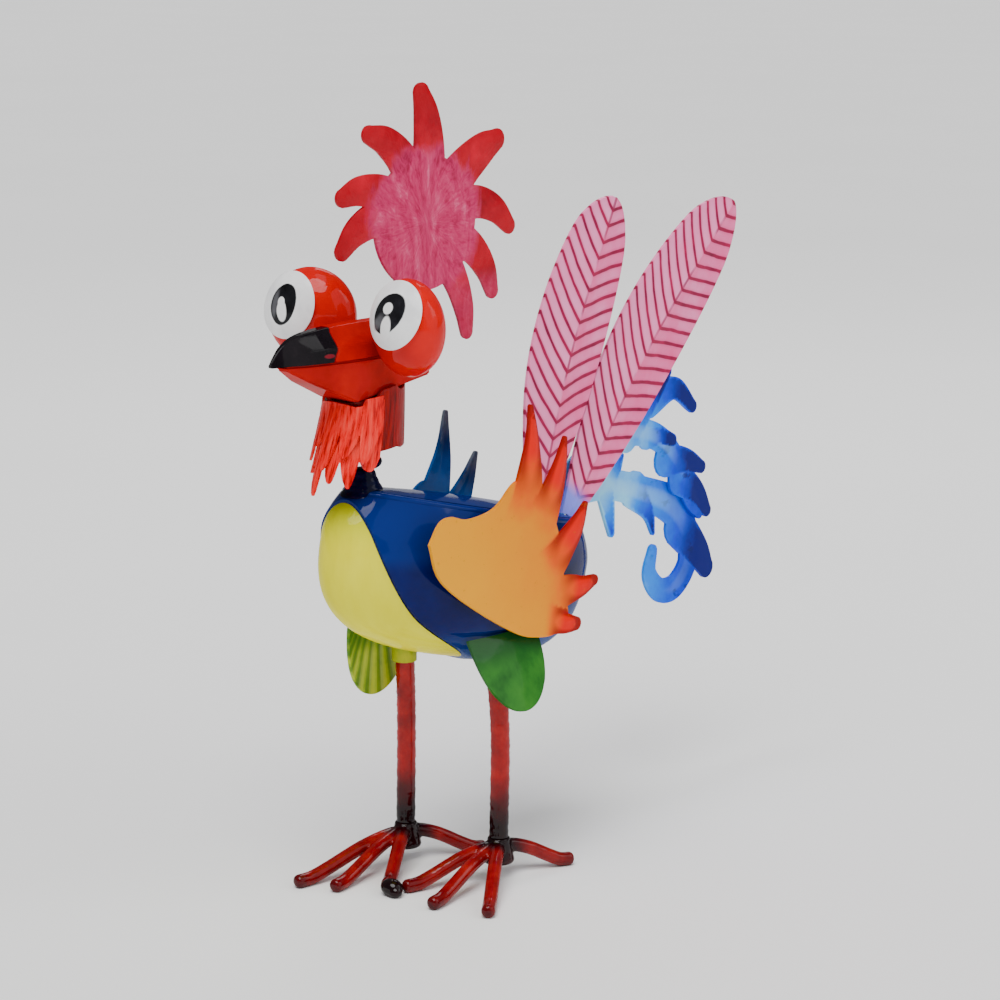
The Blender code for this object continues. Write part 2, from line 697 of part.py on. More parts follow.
def feather(name, foot, length, lean, clearance):
    """A leaf folded along its midrib, curved back a little, with its foot on the body."""
    turn = math.radians(lean)
    start = Vector((foot[1], back_line(foot[1]) - 0.004, 0.0))
    along = Vector((math.sin(turn), math.cos(turn), 0.0))
    across = Vector((-along.y, along.x, 0.0))
    end = start + along * length
    middle = start.lerp(end, 0.5) + across * length * 0.03
    shares = (0.0, 0.1, 0.2, 0.3, 0.4, 0.5, 0.6, 0.7, 0.8, 0.88, 0.94, 0.98, 1.0)
    line = curve_through([start, middle, end], 201)
    work = bmesh.new()
    rows = []
    for share in shares:
        index = round(200 * share)
        direction = (line[min(index + 1, 200)] - line[max(index - 1, 0)]).normalized()
        out = Vector((-direction.y, direction.x, 0.0))
        half = FEATHER_WIDTH / 2 * feather_width(share)
        row = []
        for place in (-1.0, 0.0, 1.0):
            spot = line[index] + out * half * place
            back = abs(place) * FEATHER_FOLD * feather_width(share)
            row.append(work.verts.new((foot[0] - back, spot.x, spot.y)))
        rows.append(row)
    for lower, upper in zip(rows, rows[1:]):
        for i in (0, 1):
            work.faces.new((lower[i], lower[i + 1], upper[i + 1], upper[i]))
    bmesh.ops.recalc_face_normals(work, faces=work.faces)
    piece = add_object(name, mesh_of(work, name), "pink", 20.0)
    solid = piece.modifiers.new("thickness", "SOLIDIFY")
    solid.thickness = SHEET
    solid.offset = 0.0
    boolean(piece, clearance, "DIFFERENCE")


def build_tail(clearance):
    feather("front_tail_feather", FRONT_FEATHER, FRONT_FEATHER_LENGTH, FRONT_FEATHER_LEAN, clearance)
    feather("rear_tail_feather", REAR_FEATHER, REAR_FEATHER_LENGTH, REAR_FEATHER_LEAN, clearance)

    def frond(points, widths, count=6):
        spine = [(PLUME_ROOT[0] + u * PLUME_LENGTH, PLUME_ROOT[1] + v * PLUME_LENGTH) for u, v in points]
        return claw(spine, [w * PLUME_LENGTH for w in widths], count)

    upper = [
        frond([(-0.09, -0.11), (0.10, 0.06), (0.38, 0.186), (0.62, 0.155), (0.77, 0.036), (0.87, -0.145),
               (0.93, -0.220)], [0.10, 0.11, 0.118, 0.11, 0.10, 0.075, 0.04], 15),
        frond([(0.455, 0.17), (0.60, 0.31), (0.69, 0.41)], [0.13, 0.115, 0.09]),
        frond([(0.60, 0.29), (0.755, 0.33), (0.875, 0.24)], [0.13, 0.095, 0.055]),
        frond([(0.58, 0.145), (0.664, 0.145), (0.745, 0.118)], [0.09, 0.075, 0.055]),
        frond([(0.71, 0.04), (0.84, 0.02), (0.94, -0.022)], [0.145, 0.10, 0.055]),
        frond([(0.80, -0.05), (0.91, -0.125), (0.98, -0.212)], [0.145, 0.10, 0.055]),
    ]
    lower = [
        frond([(-0.09, -0.13), (0.12, -0.03), (0.364, -0.014), (0.59, -0.082), (0.773, -0.164), (0.873, -0.29),
               (0.882, -0.418), (0.80, -0.505), (0.70, -0.505), (0.632, -0.427), (0.65, -0.332)],
              [0.09, 0.10, 0.12, 0.136, 0.155, 0.136, 0.118, 0.113, 0.10, 0.082, 0.055], 25),
        frond([(0.345, -0.02), (0.368, -0.127), (0.386, -0.214)], [0.11, 0.073, 0.036]),
        frond([(0.527, -0.06), (0.618, -0.164), (0.65, -0.256)], [0.16, 0.073, 0.022]),
        frond([(0.38, 0.0), (0.42, 0.055), (0.445, 0.092)], [0.09, 0.055, 0.027]),
        frond([(0.82, -0.255), (0.945, -0.382), (1.005, -0.462)], [0.18, 0.136, 0.09]),
    ]
    for name, shapes, x in (("upper_tail_plume", upper, UPPER_PLUME_X), ("lower_tail_plume", lower, LOWER_PLUME_X)):
        boolean(sheet(name, shapes, side_plate(x), SHEET, "sky"), clearance, "DIFFERENCE")


# Legs

def leg_path(side, foot_y, end):
    """From inside the body down to the ankle, bowed a little back and outward."""
    x = side * LEG_SPREAD
    top = UNDERSIDE + 2 * SOCKET_LENGTH
    return curve_through([
        (x * 0.78, foot_y - 0.0055, top), (x * 0.93, foot_y - 0.0015, blend(end, top, 0.72)),
        (x, foot_y + 0.0008, blend(end, top, 0.42)), (x, foot_y, end)], 12)


def build_legs(clearance):
    for side, hand, foot_y in FEET:
        leg = bar("leg_bar", leg_path(side, foot_y, ANKLE_HEIGHT), LEG_BAR / 2)
        leg = add_object(hand + "_leg", baked(leg, hand + "_leg"), "leg")
        boolean(leg, clearance, "DIFFERENCE")
        bore = bar("leg_bore", leg_path(side, foot_y, ANKLE_HEIGHT), LEG_BAR / 2 + GAP)
        bore = add_cutter(hand + "_leg_bore", baked(bore, hand + "_leg_bore"))
        path = leg_path(side, foot_y, ANKLE_HEIGHT)
        top = UNDERSIDE + SOCKET_LENGTH
        foot = UNDERSIDE - SOCKET_LENGTH
        middle = min(path, key=lambda point: abs(point.z - UNDERSIDE))
        socket = turned(hand + "_leg_socket", [
            (0.0, top), (SOCKET_RADIUS, top), (SOCKET_RADIUS * 0.98, blend(foot, top, 0.3)),
            (LEG_BAR / 2 + 2 * GAP, foot), (0.0, foot)], "lime", steps=16)
        socket.location = (middle.x, middle.y, 0.0)
        boolean(socket, bore, "DIFFERENCE")
        boolean(socket, clearance, "DIFFERENCE")
    build_thigh_leaf(1, "left", LEFT_LEAF_OUTSIDE, LEFT_LEAF_Y, LEFT_LEAF_WIDTH, LEFT_LEAF_SPLAY, clearance)
    build_thigh_leaf(-1, "right", RIGHT_LEAF_OUTSIDE, RIGHT_LEAF_Y, RIGHT_LEAF_WIDTH, RIGHT_LEAF_SPLAY, clearance)


def build_thigh_leaf(side, hand, outside, middle_y, width, splays, clearance):
    """A petal of sheet tucked under the body outside the leg: out over the leg, then down."""
    steps = 14
    outline = []
    for step in range(steps + 1):
        angle = math.pi * step / steps
        outline.append((width / 2 * math.cos(angle), LEAF_LENGTH * math.sin(angle) ** 0.8))

    def place(u, v):
        bends = 8
        x = LEG_SPREAD + outside
        z = UNDERSIDE + LEAF_TUCK
        for bend in range(bends):
            splay = blend(splays[0], splays[1], v / LEAF_LENGTH * (bend + 0.5) / bends)
            x += v / bends * math.sin(math.radians(splay))
            z -= v / bends * math.cos(math.radians(splay))
        x -= LEAF_CUP * (2 * u / width) ** 2
        return (side * x, middle_y + u, z)
    boolean(sheet(hand + "_thigh_leaf", [outline], place, SHEET, "leaf", spacing=0.009), clearance, "DIFFERENCE")


def toe_path(hub, heading, reach):
    """An arched toe: out of the ankle, over a low hump and down onto the floor."""
    floor = TOE_BAR / 2 - TOE_FLAT
    angle = math.radians(heading)
    points = []
    for share, rise in ((0.0, 0.92), (0.16, 1.0), (0.42, 0.76), (0.72, 0.26), (0.88, 0.03), (1.0, 0.0)):
        points.append((hub[0] + reach * share * math.sin(angle),
                       hub[1] - reach * share * math.cos(angle),
                       floor + rise * TOE_ARCH))
    return curve_through(points, 9)


def build_feet():
    left_inner = LEG_SPREAD - TOE_WELD_PLACE[0] - INNER_TOE_ENDS[0]
    right_inner = LEG_SPREAD + TOE_WELD_PLACE[0] - INNER_TOE_ENDS[1]
    left_heading = -math.degrees(math.asin(left_inner / LEFT_TOE_REACHES[0]))
    right_heading = -math.degrees(math.asin(right_inner / RIGHT_TOE_REACHES[0]))
    toes = {
        "left": list(zip((left_heading,) + LEFT_TOE_HEADINGS, LEFT_TOE_REACHES)),
        "right": list(zip((right_heading,) + RIGHT_TOE_HEADINGS, RIGHT_TOE_REACHES)),
    }
    work = bmesh.new()
    bmesh.ops.create_cube(work, size=1.0)
    floor = add_cutter("floor", mesh_of(work, "floor"))
    floor.scale = (0.4, 0.4, 0.02)
    floor.location = (0.0, 0.0, -floor.scale.z / 2)
    weld_room = add_cutter("toe_weld_room", ball_mesh("toe_weld_room", 1.0, 14, 8))
    weld = add_object("toe_weld", ball_mesh("toe_weld", 1.0, 14, 8), "leg")
    for piece, extra in ((weld, 0.0), (weld_room, GAP)):
        piece.location = (TOE_WELD_PLACE[0], TOE_WELD_PLACE[1], TOE_WELD_SIZE[2] - TOE_FLAT)
        piece.scale = [size + extra for size in TOE_WELD_SIZE]
    boolean(weld, floor, "DIFFERENCE")
    for side, hand, foot_y in FEET:
        hub = (side * LEG_SPREAD, foot_y)
        low = TOE_BAR
        work = bmesh.new()
        bmesh.ops.create_cone(work, cap_ends=True, segments=16, radius1=ANKLE_WELD_RADIUS,
                              radius2=LEG_BAR / 2 + 0.0004, depth=ANKLE_HEIGHT - GAP - low,
                              matrix=Matrix.Translation((hub[0], hub[1], (ANKLE_HEIGHT - GAP + low) / 2)))
        foot = add_object(hand + "_foot", mesh_of(work, hand + "_foot"), "leg")
        for number, (heading, reach) in enumerate(toes[hand]):
            name = "%s_toe_%d" % (hand, number)
            toe = bar("toe_bar", toe_path(hub, side * heading, reach), TOE_BAR / 2)
            boolean(foot, add_cutter(name, baked(toe, name)), "UNION")
        boolean(foot, floor, "DIFFERENCE")
        boolean(foot, weld_room, "DIFFERENCE")


def stand_on_origin():
    """Moves the whole rooster so that the middle of its bounding box stands on the origin."""
    bpy.context.view_layer.update()
    graph = bpy.context.evaluated_depsgraph_get()
    points = []
    for piece in PARTS.objects:
        shape = piece.evaluated_get(graph)
        mesh = shape.to_mesh()
        points += [tuple(piece.matrix_world @ vertex.co) for vertex in mesh.vertices]
        shape.to_mesh_clear()
    low = [min(p[axis] for p in points) for axis in range(3)]
    high = [max(p[axis] for p in points) for axis in range(3)]
    pieces = list(PARTS.objects) + list(CUTTERS.objects)
    base = bpy.data.objects.new("base", None)
    PARTS.objects.link(base)
    for piece in pieces:
        piece.parent = base
    base.location = (-(low[0] + high[0]) / 2, -(low[1] + high[1]) / 2, -low[2])


def main():
    clearance = build_body()
    build_wings()
    build_neck(clearance)
    build_hackles()
    skull, jaw = build_head()
    build_eyes(skull, jaw)
    build_comb()
    build_tail(clearance)
    build_legs(clearance)
    build_feet()
    stand_on_origin()


clear_scene()
PARTS = make_collection("garden_rooster")
CUTTERS = make_collection("cutters")
FEET = ((1, "left", LEFT_FOOT_Y), (-1, "right", RIGHT_FOOT_Y))
main()
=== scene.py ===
# Looks of the garden rooster: painted sheet steel and bar, on a pale studio floor.

import math
import random

import bmesh
import bpy
import numpy as np
from mathutils import Matrix, Vector
from mathutils.geometry import delaunay_2d_cdt


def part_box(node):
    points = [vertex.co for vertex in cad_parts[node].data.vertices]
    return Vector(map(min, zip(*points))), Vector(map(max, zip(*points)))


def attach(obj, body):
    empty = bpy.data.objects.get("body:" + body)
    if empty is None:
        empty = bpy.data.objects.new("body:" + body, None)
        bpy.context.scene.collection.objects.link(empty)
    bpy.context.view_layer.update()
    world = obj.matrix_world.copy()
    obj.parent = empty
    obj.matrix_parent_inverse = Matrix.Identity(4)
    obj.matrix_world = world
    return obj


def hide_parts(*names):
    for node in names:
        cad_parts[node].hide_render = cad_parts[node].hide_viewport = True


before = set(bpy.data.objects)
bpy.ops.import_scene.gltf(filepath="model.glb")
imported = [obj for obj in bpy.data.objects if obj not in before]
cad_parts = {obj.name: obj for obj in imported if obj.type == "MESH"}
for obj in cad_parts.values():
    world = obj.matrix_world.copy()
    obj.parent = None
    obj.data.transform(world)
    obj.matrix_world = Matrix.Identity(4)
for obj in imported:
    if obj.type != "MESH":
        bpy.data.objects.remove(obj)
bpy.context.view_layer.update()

# Sizes, in metres, as the solids have them
SHEET = 0.0014
THIN_SHEET = 0.0010
LEG_BAR = 0.0086
TOE_BAR = 0.0058
GAP = 0.0003
RIM_BEVEL = 0.00022
THIN_RIM_BEVEL = 0.0002
WING_RIM_BEVEL = 0.0006
FOLD_BEVEL = 0.0007
BAR_TIP = 0.7                   # how far a bar's rounded tip reaches, in its radii

BODY_LENGTH = 0.150
BODY_WIDTH = 0.060
BODY_DEPTH = 0.0445
SHOULDER = 0.0180
BACK_CROWN = 0.0028
BODY_ROUND = 2.8
SHOULDER_NARROWING = 0.12
BODY_TILT = 14.0
BODY_CENTRE = (0.0, 0.007, 0.137)
BREAST_RECESS = 0.0009
BODY_BEAD = 0.0011
SEAM = ((-0.4067, 1.191), (-0.430, 0.427), (-0.3267, -0.3596), (-0.060, -0.9663), (0.100, -1.3258))

WING_ROOT = (-0.004, 0.130)
WING_LENGTH = 0.106
WING_HEIGHT = 0.100
WING_LEAN = 2.0
RIGHT_WING_DROOP = 12.0
RIGHT_WING_SETBACK = 0.0135

NECK_Y = BODY_CENTRE[1] - 0.367 * BODY_LENGTH
COLLAR_RADIUS = 0.0092
COLLAR_TOP_RADIUS = 0.0040
COLLAR_HEIGHT = 0.0095
SPRING_DIAMETER = 0.0150
SPRING_WIRE = 0.0030
SPRING_PITCH = 0.0060

HACKLE_TOP_Y = -0.0450
HACKLE_FOOT = (-0.0500, 0.1705)
HACKLE_TOP_SIZE = (0.0118, 0.0163)
HACKLE_FOOT_SIZE = (0.0128, 0.0202)
HACKLE_LAYER = 0.0017
HACKLE_TURN = 100.0             # degrees round the sleeve for 1 across a flat cut
SLEEVE_REACH = 1.74
SLEEVE_DEPTH = 0.585
STRIP_BOW = 0.0006
STRIP_LIFT = 0.0016
JAW_SIDE = 0.0109               # beyond this the sleeve stands beside the jaw, and higher
JAW_SIDE_RISE = 0.0026

HEAD_RIDGE = 0.2375
BEAK_TIP = (-0.0975, 0.2255)
HEAD_WIDTH = 0.0230
JAW_WIDTH = 0.0225
JAW_BACK_RISE = 0.0062
BEAK_EDGE = 0.2245
BEAK_BLACK_SLANT = 0.30
BEAK_BLACK_END = -0.0705 - BEAK_BLACK_SLANT * 0.2310
NOSTRIL = (-0.0745, 0.2272)
NOSTRIL_SIZE = (0.0024, 0.0008)
CHIN = (-0.0610, 0.2075)
HEAD_BACK = -0.0200
EYE_DIAMETER = 0.0378
EYE_DEPTH = 0.0252
EYE_SQUINT = 18.0
EYE_PLACE = (0.0265, -0.0492, 0.2372)
EYE_WHITE_THICKNESS = 0.0012
EYE_WHITE_REACH = (1.25, 1.22)
LEFT_EYE_AIM = (3.6, 24.0)
RIGHT_EYE_AIM = (4.8, 18.0)

COMB_CENTRE = (-0.0120, 0.2725)
COMB_DISC = (0.0290, 0.0270)
CLAW_WIDTH = 0.0158
CLAW_TIP_WIDTH = 0.0084
CLAW_REACHES = (0.0555, 0.0518, 0.0520, 0.0515, 0.0560, 0.0540, 0.0545, 0.0565)
CLAW_TIPS = (92, 130, 164, 189, 36, -6, -38, -62)
CLAW_ROOTS = (83, 110, 146, 166, 44, 19, -18, -50)
CLAW_SHARES = (0.98, 0.92, 0.88, 0.88, 1.05, 0.84, 0.82, 0.78)
COMB_TAB = (0.0100, 0.0080)

FEATHER_WIDTH = 0.0450
FEATHER_FOLD = 0.0030
FRONT_FEATHER = (0.0062, 0.0480)
FRONT_FEATHER_LENGTH = 0.1425
FRONT_FEATHER_LEAN = 21.0
REAR_FEATHER = (0.0008, 0.0730)
REAR_FEATHER_LENGTH = 0.1740
REAR_FEATHER_LEAN = 41.5
PLUME_ROOT = (0.070, 0.148)
PLUME_LENGTH = 0.110
UPPER_PLUME_X = -0.0042
LOWER_PLUME_X = -0.0062

LEG_SPREAD = BODY_WIDTH / 2 - 0.0085
LEFT_FOOT_Y = 0.0080
RIGHT_FOOT_Y = -0.0030
ANKLE_HEIGHT = 0.0170
ANKLE_WELD_RADIUS = 0.0066
TOE_ARCH = 0.0100
TOE_FLAT = 0.0003
TOE_WELD_PLACE = (0.0055, -0.0395)
TOE_WELD_SIZE = (0.0052, 0.0040, 0.0036)
SOCKET_RADIUS = 0.0054
SOCKET_LENGTH = 0.0120
LEAF_LENGTH = 0.0330
LEFT_LEAF_WIDTH = 0.0400
RIGHT_LEAF_WIDTH = 0.0370
LEAF_TUCK = 0.0060
LEFT_LEAF_SPLAY = (30.0, 14.0)
RIGHT_LEAF_SPLAY = (5.0, 0.0)
LEFT_LEAF_OUTSIDE = 0.0058
RIGHT_LEAF_OUTSIDE = 0.0074
LEAF_CUP = 0.0020
LEFT_LEAF_Y = 0.0045
RIGHT_LEAF_Y = -0.0120
UNDERSIDE = (BODY_CENTRE[2] - BODY_DEPTH
             * (1.0 - (2 * LEG_SPREAD / BODY_WIDTH) ** BODY_ROUND) ** (1 / BODY_ROUND))

LOW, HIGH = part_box("left_eyeball")
SHIFT = Vector([(LOW[i] + HIGH[i]) / 2 - EYE_PLACE[i] for i in range(3)])
FEET = ((1, "left", LEFT_FOOT_Y), (-1, "right", RIGHT_FOOT_Y))
EYES = ((1, "left", LEFT_EYE_AIM), (-1, "right", RIGHT_EYE_AIM))
FINE = 1.0
STROKE_POINTS = 80
TIP_STEPS = 7


# Numbers and curves

def blend(a, b, share):
    return a + (b - a) * share


def eased(share):
    return share * share * (3.0 - 2.0 * share)


def clip01(value):
    return np.clip(value, 0.0, 1.0)


def curve_through(points, count):
    """Points along one smooth curve that passes through the given ones."""
    knots = [np.array(p, float) for p in points]
    knots = [2 * knots[0] - knots[1]] + knots + [2 * knots[-1] - knots[-2]]
    spans = len(knots) - 3
    found = []
    for step in range(count):
        place = spans * step / (count - 1)
        span = min(int(place), spans - 1)
        t = place - span
        a, b, c, d = knots[span:span + 4]
        found.append(0.5 * (2 * b + (c - a) * t + (2 * a - 5 * b + 4 * c - d) * t * t
                            + (3 * b - a - 3 * c + d) * t * t * t))
    return np.array(found)


def unit(vector):
    return vector / np.linalg.norm(vector)


def circle(count):
    """Angles evenly round a full turn."""
    return [2 * math.pi * k / count for k in range(count)]


def facing(around, above):
    """The direction so many degrees round from -Y and above the floor."""
    turn = math.radians(around)
    rise = math.radians(above)
    return Vector((math.sin(turn) * math.cos(rise), -math.cos(turn) * math.cos(rise), math.sin(rise)))


def headings(line):
    """The unit direction of a flat line at each of its points."""
    last = len(line) - 1
    return [unit(line[min(i + 1, last)] - line[max(i - 1, 0)]) for i in range(len(line))]


def along_stroke(u, v, spine, widths):
    """For points (u, v): share along the nearest bit of a stroke, and distance in half-widths."""
    line = curve_through(spine, STROKE_POINTS)
    half = curve_through(widths, STROKE_POINTS) / 2
    gaps = np.hypot(u[:, None] - line[None, :, 0], v[:, None] - line[None, :, 1])
    near = np.argmin(gaps, axis=1)
    return near / (STROKE_POINTS - 1), gaps[np.arange(len(u)), near] / half[near]


# Flat outlines, as in the solids but finer

def oval(centre, size, count):
    return [(centre[0] + size[0] * math.cos(a), centre[1] + size[1] * math.sin(a)) for a in circle(count)]


def round_end(centre, along, radius):
    across = np.array((-along[1], along[0]))
    angles = [math.pi * step / (TIP_STEPS + 1) for step in range(1, TIP_STEPS + 1)]
    return [centre + across * radius * math.cos(a) + along * radius * math.sin(a) for a in angles]


def claw(spine, widths, count=26):
    """A tapered stroke along a smooth spine, round at both ends."""
    line = curve_through(spine, count)
    left = []
    right = []
    for point, along, half in zip(line, headings(line), curve_through(widths, count) / 2):
        across = np.array((-along[1], along[0]))
        left.append(point + across * half)
        right.append(point - across * half)
    tip = round_end(line[-1], unit(line[-1] - line[-2]), widths[-1] / 2)
    root = round_end(line[0], unit(line[0] - line[1]), widths[0] / 2)
    return [(p[0], p[1]) for p in left + tip + right[::-1] + root]


def filled(shapes, spacing):
    """One triangulated sheet that covers overlapping flat shapes, with points all over it."""
    points = []
    faces = []
    for shape in shapes:
        area = sum(a[0] * b[1] - b[0] * a[1] for a, b in zip(shape, shape[1:] + shape[:1]))
        ordered = shape if area > 0 else shape[::-1]
        faces.append(list(range(len(points), len(points) + len(ordered))))
        points.extend(ordered)
    rim = np.array(points)
    low = rim.min(axis=0)
    high = rim.max(axis=0)
    rows = int((high[1] - low[1]) / (spacing * 0.87))
    columns = int((high[0] - low[0]) / spacing) + 1
    for row in range(rows + 1):
        y = low[1] + row * spacing * 0.87
        xs = low[0] + (np.arange(columns) + 0.5 * (row % 2)) * spacing
        near = np.hypot(xs[:, None] - rim[None, :, 0], y - rim[None, :, 1]).min(axis=1)
        points.extend((x, y) for x, d in zip(xs, near) if d > 0.55 * spacing)
    verts, _, tris, _, _, owners = delaunay_2d_cdt([Vector(p) for p in points], [], faces, 1, 1e-6)
    return np.array([(p.x, p.y) for p in verts]), [f for f, owner in zip(tris, owners) if owner]


# Making pieces

def linked(name, data):
    item = bpy.data.objects.new(name, data)
    bpy.context.scene.collection.objects.link(item)
    return item


def new_piece(name, mesh, materials, slot, angle=35.0):
    """Puts a mesh, made in the solids' drawing frame, in place of the node that its slot is named after."""
    mesh.transform(Matrix.Translation(SHIFT))
    mesh.materials.clear()
    for material in materials:
        mesh.materials.append(material)
    mesh.shade_smooth()
    mesh.set_sharp_from_angle(angle=math.radians(angle))
    piece = linked(name, mesh)
    nodes = [slot]
    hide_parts(*nodes)
    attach(piece, "root")


def mesh_of(work, name):
    mesh = bpy.data.meshes.new(name)
    work.normal_update()
    work.to_mesh(mesh)
    work.free()
    return mesh


def set_floats(mesh, name, values):
    layer = mesh.attributes.new(name, "FLOAT", "POINT")
    layer.data.foreach_set("value", np.asarray(values, np.float32))


def sheet_mesh(name, spots, normal, faces, cut, thickness, floats, rim_bevel=RIM_BEVEL, outward=False):
    """A sheet of steel on these spots: front, back and cut edge are material slots 0, 1 and 2.

    cut has each spot's place on the flat sheet, kept as a UV map in metres.
    """
    work = bmesh.new()
    uv_layer = work.loops.layers.uv.new("cut")
    layers = {key: work.verts.layers.float.new(key) for key in floats}
    where = {}
    sides = []
    for sign in (1, -1):
        verts = [work.verts.new(p) for p in spots + sign * normal * thickness / 2]
        for key, layer in layers.items():
            for vert, value in zip(verts, floats[key]):
                vert[layer] = value
        where.update(zip(verts, cut))
        sides.append(verts)
    front, back = sides
    edges = {}
    for face in faces:
        work.faces.new([front[i] for i in face]).material_index = 0
        work.faces.new([back[i] for i in face[::-1]]).material_index = 1
        edges.update(((a, b), True) for a, b in zip(face, face[1:] + face[:1]))
    for a, b in edges:
        if (b, a) not in edges:
            work.faces.new((front[a], back[a], back[b], front[b])).material_index = 2
    if outward:
        bmesh.ops.recalc_face_normals(work, faces=work.faces)
    for face in work.faces:
        for loop in face.loops:
            loop[uv_layer].uv = where[loop.vert]
    rim = [edge for edge in work.edges if len({face.material_index for face in edge.link_faces}) == 2]
    bmesh.ops.bevel(work, geom=rim, offset=rim_bevel, segments=2, affect="EDGES",
                    clamp_overlap=True, material=2)
    return mesh_of(work, name)


def plate(name, points, faces, place, thickness, masks=None, rim_bevel=RIM_BEVEL):
    """A sheet that is cut flat and then bent. place(u, v) and masks(u, v) take arrays."""
    used = sorted({i for face in faces for i in face})
    index = {old: new for new, old in enumerate(used)}
    faces = [[index[i] for i in face] for face in faces]
    u = points[used, 0]
    v = points[used, 1]
    step = 0.0002
    normal = np.cross(place(u + step, v) - place(u - step, v), place(u, v + step) - place(u, v - step))
    normal = normal / np.linalg.norm(normal, axis=1)[:, None]
    cut = list(zip(u.tolist(), v.tolist()))
    floats = masks(u, v) if masks else {}
    return sheet_mesh(name, place(u, v), normal, faces, cut, thickness, floats, rim_bevel)


def grid(s_count, t_count):
    """Points (s, t) from 0 to 1 and quads over them."""
    points = [(s / (s_count - 1), t / (t_count - 1)) for s in range(s_count) for t in range(t_count)]
    starts = [s * t_count + t for s in range(s_count - 1) for t in range(t_count - 1)]
    return np.array(points), [[a, a + t_count, a + t_count + 1, a + 1] for a in starts]


def loft(rings, name, caps=True):
    """A skin over rings of points."""
    work = bmesh.new()
    rows = [[work.verts.new(p) for p in ring] for ring in rings]
    count = len(rows[0])
    for lower, upper in zip(rows, rows[1:]):
        for i in range(count):
            j = (i + 1) % count
            work.faces.new((lower[i], lower[j], upper[j], upper[i]))
    if caps:
        work.faces.new(rows[0][::-1])
        work.faces.new(rows[-1])
    bmesh.ops.recalc_face_normals(work, faces=work.faces)
    return mesh_of(work, name)


def turned(profile, centre, sides, name):
    """A skin round an upright axis: the profile has radii and heights."""
    return loft([[(centre[0] + radius * math.cos(a), centre[1] + radius * math.sin(a), z)
                  for a in circle(sides)] for radius, z in profile], name)


def tube(line, radii, sides, name):
    """A skin round a line of points, without twist."""
    line = [Vector(p) for p in line]
    rings = []
    side = (line[1] - line[0]).normalized().orthogonal().normalized()
    for step, point in enumerate(line):
        along = (line[min(step + 1, len(line) - 1)] - line[max(step - 1, 0)]).normalized()
        side = (side - along * side.dot(along)).normalized()
        up = along.cross(side)
        rings.append([point + (side * math.cos(a) + up * math.sin(a)) * radii[step] for a in circle(sides)])
    return loft(rings, name)


def bar_line(line, radius):
    """Adds a rounded tip to the far end of a bar: returns its points and radii."""
    line = [Vector(p) for p in line]
    radii = [radius] * len(line)
    along = (line[-1] - line[-2]).normalized()
    last = line[-1]
    steps = 4
    for step in range(1, steps + 1):
        angle = math.pi / 2 * step / steps * 0.98
        line.append(last + along * radius * BAR_TIP * math.sin(angle))
        radii.append(radius * math.cos(angle) ** 0.8)
    return line, radii


def evaluated(piece, name):
    graph = bpy.context.evaluated_depsgraph_get()
    mesh = bpy.data.meshes.new_from_object(piece.evaluated_get(graph))
    mesh.name = name
    bpy.data.objects.remove(piece, do_unlink=True)
    return mesh


def combined(mesh, others, operation, name):
    """mesh cut by or joined with other meshes, exactly."""
    piece = linked(name, mesh)
    helpers = [linked(name + "_helper", other) for other in others]
    for helper in helpers:
        step = piece.modifiers.new("join", "BOOLEAN")
        step.operation = operation
        step.solver = "EXACT"
        step.object = helper
    bpy.context.view_layer.update()
    result = evaluated(piece, name)
    for helper in helpers:
        bpy.data.objects.remove(helper, do_unlink=True)
    return result


def clear_of_body(mesh, name, *others):
    """mesh without the other meshes and the room that the body takes."""
    return combined(mesh, [*others, body_skin("room", BREAST_RECESS + GAP)], "DIFFERENCE", name)


def ball(segments, rings):
    work = bmesh.new()
    bmesh.ops.create_uvsphere(work, u_segments=segments, v_segments=rings, radius=1.0)
    return mesh_of(work, "ball")


# Paint

def linear(shade):
    """A screen colour, 0 to 255, as Blender wants it. One that has an alpha is so already."""
    if len(shade) == 4:
        return shade
    parts = [value / 255.0 for value in shade]
    return tuple(p / 12.92 if p <= 0.04045 else ((p + 0.055) / 1.055) ** 2.4 for p in parts) + (1.0,)


